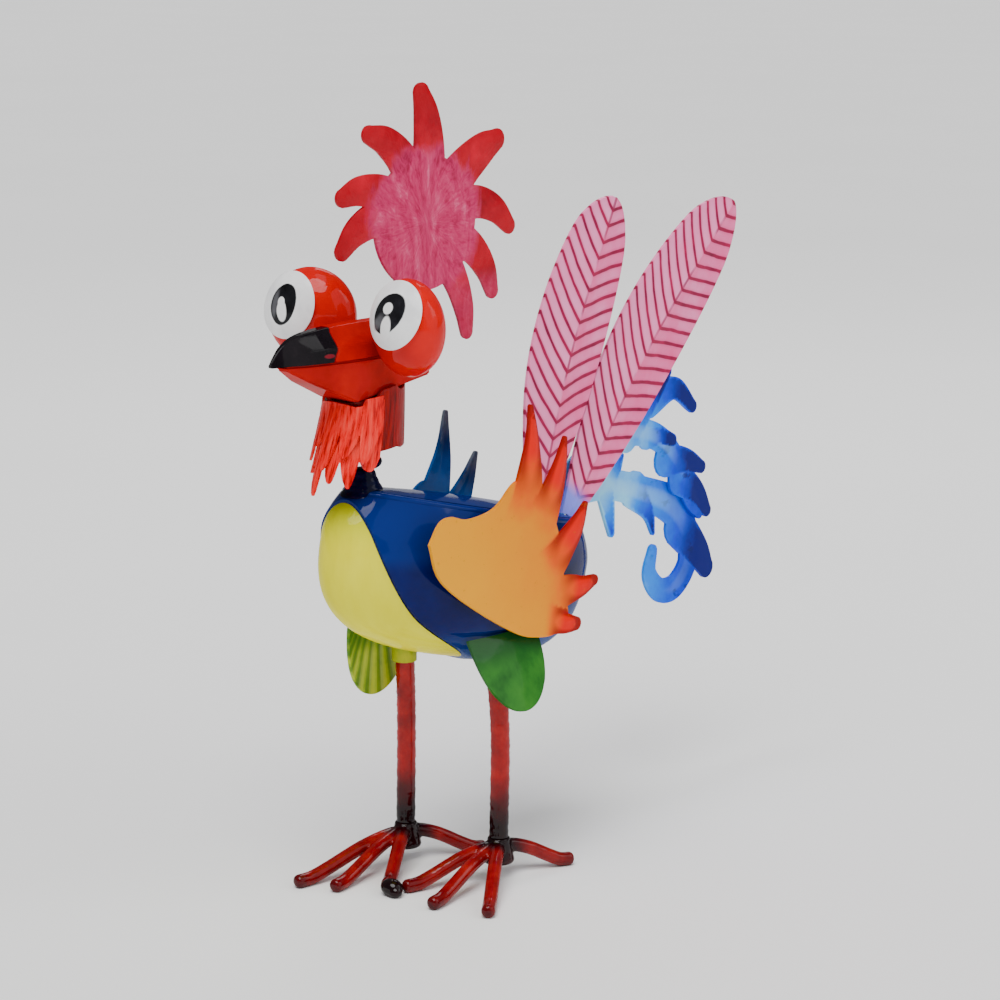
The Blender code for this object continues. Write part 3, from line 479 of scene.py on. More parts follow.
class Paint:
    """Builds one enamel material, a node at a time. Its shades are screen colours, 0 to 255."""

    def __init__(self, name, coat=0.15, coat_roughness=0.05, roughness=0.26):
        self.material = bpy.data.materials.new(name)
        self.material.use_nodes = True
        self.nodes = self.material.node_tree.nodes
        self.links = self.material.node_tree.links
        self.shader = self.nodes["Principled BSDF"]
        for key, value in (("Roughness", roughness), ("Coat Weight", coat), ("Coat IOR", 1.5),
                           ("Coat Roughness", coat_roughness), ("Specular IOR Level", 0.0)):
            self.shader.inputs[key].default_value = value
        self.coordinates = None
        self.bumped = None

    def put(self, socket, value):
        if isinstance(value, bpy.types.NodeSocket):
            self.links.new(value, socket)
        elif value is not None:
            socket.default_value = linear(value) if socket.type == "RGBA" else value

    def node(self, kind, *inputs):
        """A new node, with its inputs given as pairs of a name or number and a value."""
        node = self.nodes.new("ShaderNode" + kind)
        for key, value in inputs:
            self.put(node.inputs[key], value)
        return node

    def place(self):
        """The piece's own metres."""
        if self.coordinates is None:
            self.coordinates = self.node("TexCoord").outputs["Object"]
        return self.coordinates

    def cut(self):
        """The flat cut's own metres."""
        node = self.node("UVMap")
        node.uv_map = "cut"
        return node.outputs["UV"]

    def mask(self, name):
        node = self.node("Attribute")
        node.attribute_name = name
        return node.outputs["Fac"]

    def axis(self, vector, letter):
        return self.node("SeparateXYZ", (0, vector)).outputs[letter]

    def stretch(self, vector, scale, turn=(0, 0, 0)):
        angles = [math.radians(t) for t in turn]
        node = self.node("Mapping", ("Vector", vector), ("Scale", scale), ("Rotation", angles))
        return node.outputs["Vector"]

    def noise(self, scale, detail=3.0, rough=0.55, vector=None, distortion=0.0):
        return self.node("TexNoise", ("Vector", vector or self.place()), ("Scale", scale), ("Detail", detail),
                         ("Roughness", rough), ("Distortion", distortion)).outputs["Fac"]

    def uneven(self, amount, *noise):
        """Noise about zero."""
        return self.times(self.minus(self.noise(*noise), 0.5), amount)

    def math(self, kind, a, b=None):
        node = self.node("Math", (0, a), (1, b))
        node.operation = kind
        return node.outputs[0]

    def add(self, a, b):
        return self.math("ADD", a, b)

    def minus(self, a, b):
        return self.math("SUBTRACT", a, b)

    def times(self, a, b):
        return self.math("MULTIPLY", a, b)

    def between(self, value, low, high):
        """0 below low, 1 above high."""
        node = self.node("MapRange", ("Value", value), ("From Min", low), ("From Max", high))
        node.interpolation_type = "SMOOTHSTEP"
        return node.outputs["Result"]

    def mix(self, a, b, share, strength=None):
        """From a to b by share, which strength can weaken."""
        if strength is not None:
            share = self.times(share, strength)
        node = self.nodes.new("ShaderNodeMix")
        node.data_type = "RGBA"
        for key, value in (("Factor", share), (6, a), (7, b)):
            self.put(node.inputs[key], value)
        return node.outputs[2]

    def ramp(self, share, *stops):
        node = self.node("ValToRGB", ("Fac", share))
        ramp = node.color_ramp
        while len(ramp.elements) < len(stops):
            ramp.elements.new(0.5)
        for element, (position, shade) in zip(ramp.elements, stops):
            element.position = position
            element.color = linear(shade)
        return node.outputs["Color"]

    def base(self, shade):
        self.put(self.shader.inputs["Base Color"], shade)

    def rough(self, low, high, scale=60.0):
        uneven = self.node("MapRange", ("Value", self.noise(scale)), ("From Min", 0.3), ("From Max", 0.7),
                           ("To Min", low), ("To Max", high)).outputs["Result"]
        self.put(self.shader.inputs["Roughness"], uneven)
        self.put(self.shader.inputs["Coat Roughness"], self.times(uneven, 0.35))

    def bump(self, height, strength, distance):
        """Bumps stack: the first one made lies under the later ones."""
        self.bumped = self.node("Bump", ("Strength", strength), ("Distance", distance), ("Height", height),
                                ("Normal", self.bumped)).outputs["Normal"]
        self.put(self.shader.inputs["Normal"], self.bumped)
        self.put(self.shader.inputs["Coat Normal"], self.bumped)

    def enamel(self, tone, low=0.20, high=0.34, peel=0.10):
        """Thick brushed gloss paint: slightly uneven sheen, sags and faint orange peel."""
        self.base(tone)
        self.rough(low, high)
        self.bump(self.noise(45.0, 2.0, 0.5), 0.18, 0.0016)
        self.bump(self.noise(420.0, 2.0, 0.6), peel, 0.0004)
        return self.material


def simple_paint(name, shade, dark, light, scale=60.0):
    """One colour with brushed lighter and darker cloudiness."""
    paint = Paint(name, coat=0.20)
    return paint.enamel(paint.ramp(paint.noise(scale, 4.0, 0.6), (0.25, dark), (0.5, shade), (0.78, light)))


# Camera, floor and lights

CAMERA_AROUND = 42.0            # degrees from -Y
CAMERA_ABOVE = 12.0
CAMERA_DISTANCE = 1.2
METRES_PER_PIXEL = 0.00042
PHOTO_PIXELS = 1000
ORIGIN_PIXEL = (448, 868)       # where the photograph shows the drawing frame's origin
# Name, degrees round, degrees above the floor, width (degrees) and strength
SUNS = (("sky", 25.0, 62.0, 40.0, 3.0), ("side_sky", 105.0, 24.0, 70.0, 0.9))
# Name, degrees round, degrees above, distance, size and watts
LAMPS = (
    ("fill", 128.0, 38.0, 1.6, (0.5, 0.9), 3.0),
    ("rim", 215.0, 40.0, 1.6, (0.6, 0.6), 4.0),
    ("top", 40.0, 82.0, 1.5, (0.5, 1.2), 3.0),
)
LAMPS_AIM = Vector((0.0, -0.02, 0.17))


def aimed(name, data, place, back):
    """Adds a camera or lamp that looks the opposite way to back."""
    item = linked(name, data)
    item.location = place
    item.rotation_mode = "QUATERNION"
    item.rotation_quaternion = back.to_track_quat("Z", "Y")
    return item


def build_stage():
    toward = facing(CAMERA_AROUND, CAMERA_ABOVE)
    right = facing(CAMERA_AROUND + 90.0, 0.0)
    up = toward.cross(right)
    centre = PHOTO_PIXELS / 2
    target = (right * (centre - ORIGIN_PIXEL[0]) + up * (ORIGIN_PIXEL[1] - centre)) * METRES_PER_PIXEL
    data = bpy.data.cameras.new("camera")
    data.sensor_width = 36.0
    data.lens = 36.0 * CAMERA_DISTANCE / METRES_PER_PIXEL / PHOTO_PIXELS
    data.clip_end = 50.0
    bpy.context.scene.camera = aimed("camera", data, target + toward * CAMERA_DISTANCE + SHIFT, toward)

    work = bmesh.new()
    bmesh.ops.create_circle(work, cap_ends=True, segments=96, radius=40.0)
    floor = linked("floor", mesh_of(work, "floor"))
    floor.location = (0.0, 0.0, -0.0002)
    paint = Paint("floor_white", roughness=0.55, coat=0.0)
    paint.base(paint.ramp(paint.noise(3.0, 2.0), (0.3, (0.94, 0.94, 0.94, 1)), (0.7, (0.96, 0.96, 0.96, 1))))
    floor.data.materials.append(paint.material)

    world = bpy.data.worlds.new("studio")
    world.use_nodes = True
    background = world.node_tree.nodes["Background"]
    background.inputs["Color"].default_value = (1.0, 1.0, 1.0, 1.0)
    background.inputs["Strength"].default_value = 0.22
    bpy.context.scene.world = world

    for name, around, above, width, power in SUNS:
        data = bpy.data.lights.new(name, "SUN")
        data.energy = power
        data.angle = math.radians(width)
        linked(name, data).rotation_euler = (math.radians(90.0 - above), 0.0, math.radians(around))
    for name, around, above, far, size, power in LAMPS:
        data = bpy.data.lights.new(name, "AREA")
        data.shape = "RECTANGLE"
        data.size, data.size_y = size
        data.energy = power
        back = facing(around, above)
        aimed(name, data, LAMPS_AIM + back * far, back)


# Body

def body_share(drop):
    if drop >= 0:
        return 1.0 - SHOULDER_NARROWING * (drop / SHOULDER) ** 1.7
    return (1.0 - min(-drop / BODY_DEPTH, 1.0) ** BODY_ROUND) ** (1 / BODY_ROUND)


def body_skin(name, grow, rim_bead=0.0):
    """The closed body, with a soft bead where its back plate is welded on."""
    drops = [-BODY_DEPTH * math.cos(math.pi / 2 * step / 26) ** 0.8 * 0.9995 for step in range(26)]
    drops += [SHOULDER * k / 12 for k in range(12)]
    rings = []
    for drop in drops:
        share = body_share(drop)
        lift = grow * drop / BODY_DEPTH if drop < 0 else 0.0
        rings.append((share * (BODY_WIDTH / 2 + grow), share * (BODY_LENGTH / 2 + grow), drop + lift))
    share = body_share(SHOULDER)
    wide = share * (BODY_WIDTH / 2 + grow)
    long = share * (BODY_LENGTH / 2 + grow)
    for angle in (-40, -10, 20, 50, 80, 110):
        turn = math.radians(angle)
        out = rim_bead * (1.6 * math.cos(turn) - 1)
        rings.append((wide + out, long + out, SHOULDER + rim_bead * (1.6 * math.sin(turn) - 1)))
    for inner in (0.965, 0.93, 0.85, 0.7, 0.5, 0.3, 0.12):
        crown = BACK_CROWN * (1 - inner * inner)
        rings.append((wide * inner, long * inner, SHOULDER + grow + crown - 0.2 * rim_bead))
    angles = circle(int(160 * FINE))
    mesh = loft([[(x * math.cos(a), y * math.sin(a), z) for a in angles] for x, y, z in rings], name)
    mesh.transform(Matrix.Translation(BODY_CENTRE) @ Matrix.Rotation(math.radians(-BODY_TILT), 4, "X"))
    return mesh


def back_line(y):
    turn = math.radians(BODY_TILT)
    return BODY_CENTRE[2] + SHOULDER / math.cos(turn) - (y - BODY_CENTRE[1]) * math.tan(turn)


def seam_block(shift):
    """A block over everything ahead of the breast plate's seam, with the seam moved by shift."""
    spots = [(BODY_CENTRE[1] + u * BODY_LENGTH, BODY_CENTRE[2] + v * BODY_DEPTH) for u, v in SEAM]
    seam = curve_through(spots, 60)
    outline = [(y + along[1] * shift, z - along[0] * shift) for (y, z), along in zip(seam, headings(seam))]
    front = BODY_CENTRE[1] - BODY_LENGTH
    floor = BODY_CENTRE[2] - 2 * BODY_DEPTH
    outline += [(outline[-1][0], floor), (front, floor), (front, spots[0][1])]
    return loft([[(x, y, z) for y, z in outline] for x in (-BODY_WIDTH, BODY_WIDTH)], "seam_block")


def build_body():
    blue = Paint("body_blue_enamel", coat=0.30, coat_roughness=0.03)
    tone = blue.ramp(blue.noise(38.0, 4.0, 0.6), (0.25, (0, 6, 66)), (0.55, (0, 12, 84)),
                     (0.85, (0, 24, 104)))
    height = blue.add(blue.axis(blue.place(), "Z"), blue.uneven(0.006, 30.0, 2.0))
    # Painted reflection: lighter blue along the top of the body
    tone = blue.mix(tone, (0, 34, 112), blue.between(height, 0.138, 0.146))
    # Painted reflection of the floor: lighter blue low on the sides
    tone = blue.mix(tone, (0, 52, 122), blue.between(height, 0.112, 0.100))
    blue.enamel(tone, 0.12, 0.22, 0.05)

    yellow = Paint("breast_yellow_enamel", coat=0.28, coat_roughness=0.04)
    strokes = yellow.noise(30.0, 5.0, 0.65, yellow.stretch(yellow.place(), (2.2, 1.0, 0.45), (20, 0, 0)))
    tone = yellow.ramp(strokes, (0.28, (210, 206, 0)), (0.5, (230, 222, 0)), (0.74, (240, 234, 40)))
    height = yellow.axis(yellow.place(), "Z")
    # Painted reflection: olive green over the top of the breast
    tone = yellow.mix(tone, (166, 184, 0), yellow.between(height, 0.148, 0.170), 0.85)
    # Painted shade: duller, darker yellow under the breast
    tone = yellow.mix(tone, (226, 206, 24), yellow.between(height, 0.104, 0.094), 0.8)
    yellow.enamel(tone, 0.18, 0.30, 0.06)

    body = body_skin("body_shell", BREAST_RECESS, BODY_BEAD)
    shell = combined(body, [seam_block(0.0)], "DIFFERENCE", "body_shell_skin")
    new_piece("body_shell_skin", shell, [blue.material], "body_shell", 40.0)
    breast = combined(body_skin("breast", 0.0), [seam_block(GAP)], "INTERSECT", "breast_skin")
    new_piece("breast_skin", breast, [yellow.material], "breast_plate", 40.0)


# Wings

# Shares of the wing's length and height from its root: the panel's outline and each flame's spine
WING_PANEL = (
    (-0.385, 0.215), (-0.33, 0.295), (-0.265, 0.308), (-0.17, 0.283), (-0.03, 0.305), (0.085, 0.395),
    (0.22, 0.36), (0.34, 0.14), (0.38, -0.08), (0.40, -0.24), (0.33, -0.285), (0.22, -0.280),
    (0.09, -0.235), (-0.17, -0.07), (-0.33, 0.07), (-0.385, 0.215),
)
WING_TIPS = (
    ((0.13, 0.16), (0.165, 0.42), (0.172, 0.56), (0.160, 0.690)),
    ((0.20, 0.15), (0.29, 0.30), (0.338, 0.42), (0.365, 0.530)),
    ((0.24, -0.04), (0.355, 0.05), (0.44, 0.14), (0.500, 0.232)),
    ((0.26, -0.13), (0.41, -0.115), (0.485, -0.115), (0.560, -0.102)),
    ((0.24, -0.21), (0.33, -0.235), (0.39, -0.255), (0.452, -0.268)),
)
WING_TIP_WIDTHS = (
    (0.24, 0.13, 0.065, 0.020), (0.22, 0.14, 0.075, 0.020), (0.20, 0.14, 0.095, 0.025),
    (0.16, 0.12, 0.085, 0.045), (0.13, 0.10, 0.080, 0.055),
)


def wing_at(u, v):
    return (WING_ROOT[0] + u * WING_LENGTH, WING_ROOT[1] + v * WING_HEIGHT)


def wing_cut():
    panel = curve_through([wing_at(u, v) for u, v in WING_PANEL], 180)
    shapes = [[(p[0], p[1]) for p in panel[:-1]]]
    for spine, width in zip(WING_TIPS, WING_TIP_WIDTHS):
        shapes.append(claw([wing_at(u, v) for u, v in spine], [w * WING_LENGTH for w in width], 40))
    return shapes


def wing_flames(u, v):
    """How far out along a flame each point lies, and how near to its middle line."""
    flame = np.zeros(len(u))
    ridge = np.zeros(len(u))
    for spine, width in zip(WING_TIPS, WING_TIP_WIDTHS):
        share, off = along_stroke(u, v, [wing_at(a, b) for a, b in spine], [w * WING_LENGTH for w in width])
        inside = clip01(1.35 - off) / 0.35
        flame = np.maximum(flame, share * clip01(inside))
        ridge = np.maximum(ridge, clip01(1.0 - off) * eased(clip01(share * 1.6)) * clip01((1.0 - share) * 6))
    return flame, ridge


def wing_place(side, droop, setback):
    lean = math.tan(math.radians(WING_LEAN))
    turn = math.radians(droop)
    pivot = (WING_ROOT[0] - 0.4 * WING_LENGTH, WING_ROOT[1] + 0.2 * WING_HEIGHT)
    inner = BODY_WIDTH / 2 + BREAST_RECESS + GAP + SHEET / 2

    def place(u, v):
        du = u - pivot[0]
        dv = v - pivot[1]
        y = pivot[0] + du * math.cos(turn) + dv * math.sin(turn) + setback
        z = pivot[1] - du * math.sin(turn) + dv * math.cos(turn)
        _, ridge = wing_flames(u, v)
        wave = 0.00025 * np.sin(u * 160.0 + 1.0) * np.sin(v * 140.0)
        x = inner + lean * np.maximum(z - BODY_CENTRE[2], 0.0) + 0.0011 * ridge + np.abs(wave)
        return np.stack((side * x, y, z), axis=1)
    return place


def wing_paint():
    front = Paint("wing_orange_enamel", coat=0.20, coat_roughness=0.08)
    across = front.axis(front.cut(), "X")
    up = front.axis(front.cut(), "Y")
    slope = front.add(front.times(across, 7.5), front.times(up, 3.5))
    slope = front.add(slope, front.uneven(0.35, 26.0, 5.0, 0.65))
    tone = front.ramp(front.between(slope, 0.10, 1.05), (0.0, (244, 164, 0)), (0.45, (240, 148, 0)),
                      (1.0, (236, 112, 0)))
    flame = front.mask("tips")
    edge = front.add(flame, front.uneven(0.25, 70.0, 3.0))
    tone = front.mix(tone, (240, 88, 0), front.between(edge, 0.04, 0.28))
    tone = front.mix(tone, (232, 16, 0), front.between(edge, 0.24, 0.56))
    tone = front.mix(tone, (206, 10, 6), front.between(edge, 0.66, 0.95), 0.75)
    # Painted shade: dark red in the grooves between the raised flames
    crease_shade = front.times(front.between(front.mask("fold"), 0.55, 0.10), front.between(flame, 0.16, 0.38))
    tone = front.mix(tone, (120, 14, 6), crease_shade, 0.70)
    fleck = front.between(front.noise(330.0, 2.0, 0.7), 0.64, 0.72)
    front.enamel(front.mix(tone, (196, 116, 10), fleck, 0.30), 0.22, 0.36, 0.08)

    back = Paint("wing_blue_enamel", coat=0.25)
    flame = back.mask("tips")
    tone = back.ramp(back.noise(45.0, 4.0, 0.6), (0.3, (0, 58, 124)), (0.6, (8, 84, 158)),
                     (0.85, (24, 108, 186)))
    tone = back.mix(tone, (14, 44, 92), back.between(flame, 0.40, 0.72))
    back.enamel(back.mix(tone, (84, 92, 104), back.between(flame, 0.66, 0.95)))

    rim = Paint("wing_cut_edge", coat=0.2)
    tone = rim.ramp(rim.noise(120.0, 3.0), (0.3, (246, 150, 110)), (0.6, (254, 196, 168)),
                    (0.8, (255, 228, 205)))
    rim.enamel(tone, 0.25, 0.4, 0.05)
    return [front.material, back.material, rim.material]


def build_wings():
    points, faces = filled(wing_cut(), 0.0018 / FINE)
    front, back, rim = wing_paint()

    def masks(u, v):
        flame, ridge = wing_flames(u, v)
        return {"tips": flame, "fold": ridge}
    for hand, place, paints in (
            ("left", wing_place(1, 0.0, 0.0), [front, back, rim]),
            ("right", wing_place(-1, RIGHT_WING_DROOP, RIGHT_WING_SETBACK), [back, front, rim])):
        name = hand + "_wing_sheet"
        mesh = plate(name, points, faces, place, SHEET, masks, WING_RIM_BEVEL)
        new_piece(name, mesh, paints, hand + "_wing")


# Neck

# Down and up one pointed strip, in shares of its width and depth
STRIP_EDGE = (
    (0.0, 0.06), (0.10, 0.40), (0.20, 0.70), (0.33, 0.93), (0.44, 1.0),
    (0.54, 0.985), (0.66, 0.86), (0.78, 0.60), (0.88, 0.30), (0.95, 0.08),
)


def jaw_floor(y):
    behind = CHIN[1] + JAW_BACK_RISE * (y - CHIN[0]) / (HEAD_BACK - CHIN[0])
    before = CHIN[1] + (BEAK_EDGE - CHIN[1]) * (CHIN[0] - y) / (CHIN[0] - BEAK_TIP[0])
    return np.where(y > CHIN[0], behind, before)


def build_neck():
    black = simple_paint("neck_black_enamel", (4, 6, 34), (2, 2, 12), (12, 20, 62), 90.0)
    foot = back_line(NECK_Y) - 0.004
    top = back_line(NECK_Y) + COLLAR_HEIGHT
    slope = (COLLAR_RADIUS - COLLAR_TOP_RADIUS) / COLLAR_HEIGHT
    profile = []
    for step in range(40):
        share = step / 39
        z = blend(foot, top - 0.0008, share)
        radius = COLLAR_TOP_RADIUS + slope * (top - z) + 0.0001 * math.sin(share * 30)
        profile.append((radius - 0.0009 * math.sin(math.pi * share), z))
    for inner, drop in ((0.9, 0.0002), (0.6, 0.0), (0.1, 0.0)):
        profile.append((COLLAR_TOP_RADIUS * inner, top - drop))
    collar = clear_of_body(turned(profile, (0.0, NECK_Y), 48, "collar"), "neck_collar_cone")
    new_piece("neck_collar_cone", collar, [black], "neck_collar", 50.0)
    radius = (SPRING_DIAMETER - SPRING_WIRE) / 2
    low = top + SPRING_WIRE / 2 + GAP
    high = float(jaw_floor(np.array(NECK_Y - SPRING_DIAMETER / 2))) - SPRING_WIRE / 2 - GAP
    turns = (high - low) / SPRING_PITCH
    count = int(turns * 40)
    line = []
    for step in range(count + 1):
        angle = 2 * math.pi * turns * step / count
        line.append((radius * math.cos(angle), NECK_Y + radius * math.sin(angle),
                     blend(low, high, step / count)))
    coil = tube(line, [SPRING_WIRE / 2] * len(line), 12, "neck_spring_coil")
    new_piece("neck_spring_coil", coil, [black], "neck_spring", 60.0)


def hackle_place(layer, folds, seed):
    """Wraps a flat cut round the flared sleeve; strips bow out, and lift at their tips."""
    random.seed(seed)
    phase = random.uniform(0.0, 6.0)

    def place(turn, depth):
        share = eased(clip01(depth))
        strip = turn * folds + phase
        lift = np.abs(np.sin(strip * math.pi))
        grow = layer * HACKLE_LAYER + (STRIP_BOW * lift) * clip01(depth * 3) * (1 if folds else 0)
        grow = grow + (STRIP_LIFT * clip01((depth - 0.55) / 0.45) ** 2) * (layer > 0)
        half_x = blend(HACKLE_TOP_SIZE[0], HACKLE_FOOT_SIZE[0], share) + grow
        half_y = blend(HACKLE_TOP_SIZE[1], HACKLE_FOOT_SIZE[1], share) + grow
        angle = np.radians(turn * HACKLE_TURN)
        y = blend(HACKLE_TOP_Y, HACKLE_FOOT[0], share) - half_y * np.cos(angle)
        x = half_x * np.sin(angle)
        beside = clip01((np.abs(x) - JAW_SIDE) / 0.0005)
        top = jaw_floor(y) - GAP - THIN_SHEET / 2 + JAW_SIDE_RISE * beside
        return np.stack((x, y, blend(top, HACKLE_FOOT[1], depth)), axis=1)
    return place


def fringe(left, right, valley, tips, top, lean):
    """A cut sheet: straight at the top, with pointed strips of the given depths along its foot."""
    width = (right - left) / len(tips)
    points = [(left, top)]
    for strip, tip in enumerate(tips):
        start = left + strip * width
        for across, deep in STRIP_EDGE:
            points.append((start + (across + lean * deep) * width, blend(valley, tip, deep)))
    points.append((right, valley))
    steps = 40
    return points + [(blend(right, left, step / steps), top) for step in range(steps)]


def hackle_paint(name, light, mid, dark):
    paint = Paint(name, coat=0.28, coat_roughness=0.06)
    strokes = paint.noise(9.0, 4.0, 0.6, paint.stretch(paint.cut(), (2.4, 0.35, 1.0)))
    paint.base(paint.ramp(strokes, (0.34, dark), (0.48, mid), (0.66, light)))
    paint.rough(0.18, 0.32, 8.0)
    paint.bump(strokes, 0.35, 0.0012)
    return paint.material


def build_hackles():
    bright = hackle_paint("beard_red_enamel", (255, 72, 60), (240, 10, 14), (150, 0, 4))
    deep = hackle_paint("sleeve_red_enamel", (168, 0, 0), (140, 0, 0), (92, 0, 0))
    edge = SLEEVE_REACH
    steps = 60
    sleeve = [(blend(-edge, edge, k / steps), SLEEVE_DEPTH) for k in range(steps + 1)]
    sleeve += [(blend(edge, -edge, k / steps), 0.0) for k in range(steps + 1)]
    lower = fringe(-0.95, 0.76, 0.63, (0.76, 0.84, 0.80, 0.99, 0.86, 0.90, 0.75), 0.08, 0.10)
    upper = fringe(-0.78, 0.72, 0.36, (0.56, 0.70, 0.52, 0.74, 0.60, 0.66), 0.03, -0.12)
    for layer, (node, outline, spacing, folds, paint) in enumerate((
            ("neck_sleeve", sleeve, 0.05, 0, deep),
            ("lower_beard", lower, 0.028, 3.74, bright),
            ("upper_beard", upper, 0.028, 4.0, bright))):
        points, faces = filled([outline], spacing / FINE)
        place = hackle_place(layer, folds, layer + 1)
        mesh = plate(node + "_sheet", points, faces, place, THIN_SHEET, None, THIN_RIM_BEVEL)
        new_piece(node + "_sheet", mesh, [paint] * 3, node)


# Head

def bevelled(mesh):
    """Softens the folds of a bent sheet."""
    work = bmesh.new()
    work.from_mesh(mesh)
    edges = [e for e in work.edges if len(e.link_faces) == 2 and e.calc_face_angle() > math.radians(20.0)]
    bmesh.ops.bevel(work, geom=edges, offset=FOLD_BEVEL, segments=3, affect="EDGES", clamp_overlap=True)
    work.to_mesh(mesh)
    work.free()
    return mesh


def head_paint():
    """Red, with a black beak that ends at a ragged slanting border."""
    red = Paint("head_red_enamel", coat=0.30, coat_roughness=0.05)
    tone = red.ramp(red.noise(70.0, 4.0, 0.6), (0.25, (146, 0, 0)), (0.55, (176, 0, 0)), (0.85, (202, 6, 2)))
    along = red.minus(red.axis(red.place(), "Y"), float(SHIFT.y))
    height = red.minus(red.axis(red.place(), "Z"), float(SHIFT.z))
    border = red.add(along, red.times(height, -BEAK_BLACK_SLANT))
    border = red.add(border, red.uneven(0.004, 110.0, 2.0))
    beak = red.between(border, BEAK_BLACK_END + 0.0004, BEAK_BLACK_END - 0.0004)
    black = red.ramp(red.noise(90.0, 4.0, 0.6), (0.3, (8, 5, 10)), (0.6, (20, 15, 20)), (0.85, (40, 32, 36)))
    dy = red.math("DIVIDE", red.minus(along, NOSTRIL[0]), NOSTRIL_SIZE[0])
    dz = red.math("DIVIDE", red.minus(height, NOSTRIL[1]), NOSTRIL_SIZE[1])
    nostril = red.add(red.times(dy, dy), red.times(dz, dz))
    black = red.mix(black, (120, 20, 34), red.between(nostril, 1.3, 0.6))
    return red.enamel(red.mix(tone, black, beak), 0.16, 0.28, 0.06)


def build_head():
    mouth = BEAK_EDGE + GAP / 2
    tip_y, tip_z = BEAK_TIP
    rings = []
    for y, top, bottom, half in curve_through((
            (tip_y, tip_z + 0.0006, tip_z - 0.0012, 0.0012),
            (tip_y + 0.006, blend(tip_z, HEAD_RIDGE, 0.56), mouth, 0.0048),
            (tip_y + 0.016, blend(tip_z, HEAD_RIDGE, 0.86), mouth, 0.0082),
            (CHIN[0] + 0.003, HEAD_RIDGE, mouth, HEAD_WIDTH / 2),
            (HEAD_BACK, HEAD_RIDGE, mouth, HEAD_WIDTH / 2)), 41):
        top = min(top, HEAD_RIDGE)
        half = min(half, HEAD_WIDTH / 2)
        shoulder = blend(bottom, top, 0.45)
        rings.append([(-half, y, bottom), (half, y, bottom), (half * 0.86, y, shoulder),
                      (half * 0.22, y, top), (-half * 0.22, y, top), (-half * 0.86, y, shoulder)])
    eyes = [eye_ball(side, GAP, 64, 40) for side, _, _ in EYES]
    reach = [1.03 * share for share in EYE_WHITE_REACH]
    for side, _, aim in EYES:
        eyes.append(eye_white(side, aim, 0.0, 2 * GAP + EYE_WHITE_THICKNESS, reach, "white_room"))
    skull = combined(bevelled(loft(rings, "skull")), [e.copy() for e in eyes], "DIFFERENCE", "head_folded")
    new_piece("head_folded", skull, [head_paint()], "head", 28.0)

    lip = BEAK_EDGE - GAP / 2
    stations = (
        (tip_y + 0.006, lip - 0.0016, 0.0030),
        (blend(tip_y, CHIN[0], 0.45), blend(lip, CHIN[1], 0.45), 0.0072),
        (CHIN[0], CHIN[1], JAW_WIDTH / 2),
        (HEAD_BACK, CHIN[1] + JAW_BACK_RISE, JAW_WIDTH / 2),
    )
    sections = [[blend(a, b, step / 8) for a, b in zip(first, second)]
                for first, second in zip(stations, stations[1:]) for step in range(8)]
    rings = [[(-half * 0.90, y, bottom), (half * 0.90, y, bottom), (half, y, lip), (-half, y, lip)]
             for y, bottom, half in sections + [stations[-1]]]
    jaw_red = simple_paint("jaw_red_enamel", (182, 0, 0), (150, 0, 0), (204, 4, 0))
    jaw = combined(bevelled(loft(rings, "jaw")), eyes, "DIFFERENCE", "lower_jaw_folded")
    new_piece("lower_jaw_folded", jaw, [jaw_red], "lower_jaw", 28.0)


# Ovals painted in order on each eye, in slopes: place, half width, half height, lean (degrees) and kind; the
# grey kind is a soft painted reflection, the light kind a painted glint
PUPILS = {
    "left": (
        (0.01, 0.03, 0.49, 0.64, 48.0, "dark"),
        (-0.30, -0.20, 0.16, 0.30, 48.0, "soft_reflection"),
        (0.05, 0.185, 0.165, 0.145, 0.0, "light"),
        (0.03, -0.38, 0.20, 0.38, 10.0, "light"),
    ),
    "right": (
        (-0.06, 0.03, 0.42, 0.60, 14.0, "dark"),
        (-0.33, 0.02, 0.10, 0.34, 6.0, "soft_reflection"),
        (-0.11, 0.10, 0.11, 0.13, 0.0, "light"),
        (-0.07, -0.15, 0.165, 0.29, -6.0, "light"),
    ),
}


def eye_place(side):
    return (side * EYE_PLACE[0], EYE_PLACE[1], EYE_PLACE[2])


def eye_ball(side, extra, segments, rings, seam=0.0):
    """A flattened ball, extra metres bigger than the eye all round, turned in and in its place.

    seam is the height of the weld bead where its two pressed halves meet, in half diameters.
    """
    mesh = ball(segments, rings)
    for vert in mesh.vertices:
        vert.co *= 1.0 + seam * math.exp(-(vert.co.y / 0.09) ** 2)
    half = EYE_DIAMETER / 2 + extra
    mesh.transform(Matrix.Diagonal((half, EYE_DEPTH / 2 + extra, half, 1.0)))
    mesh.transform(Matrix.Rotation(math.radians(-side * EYE_SQUINT), 4, "Z"))
    mesh.transform(Matrix.Translation(eye_place(side)))
    return mesh


def eye_spot(side, aim, extra, out, rise):
    """A point extra metres outside the eye, seen from its middle at these slopes from its aim."""
    ahead = facing(side * aim[0], aim[1])
    across = facing(side * aim[0] + 90.0, 0.0)
    ray = (ahead + across * out + across.cross(ahead) * -rise).normalized()
    own = Matrix.Rotation(math.radians(side * EYE_SQUINT), 3, "Z") @ ray
    half = EYE_DIAMETER / 2 + extra
    thick = EYE_DEPTH / 2 + extra
    distance = 1 / math.sqrt((own.x / half) ** 2 + (own.y / thick) ** 2 + (own.z / half) ** 2)
    return Vector(eye_place(side)) + ray * distance


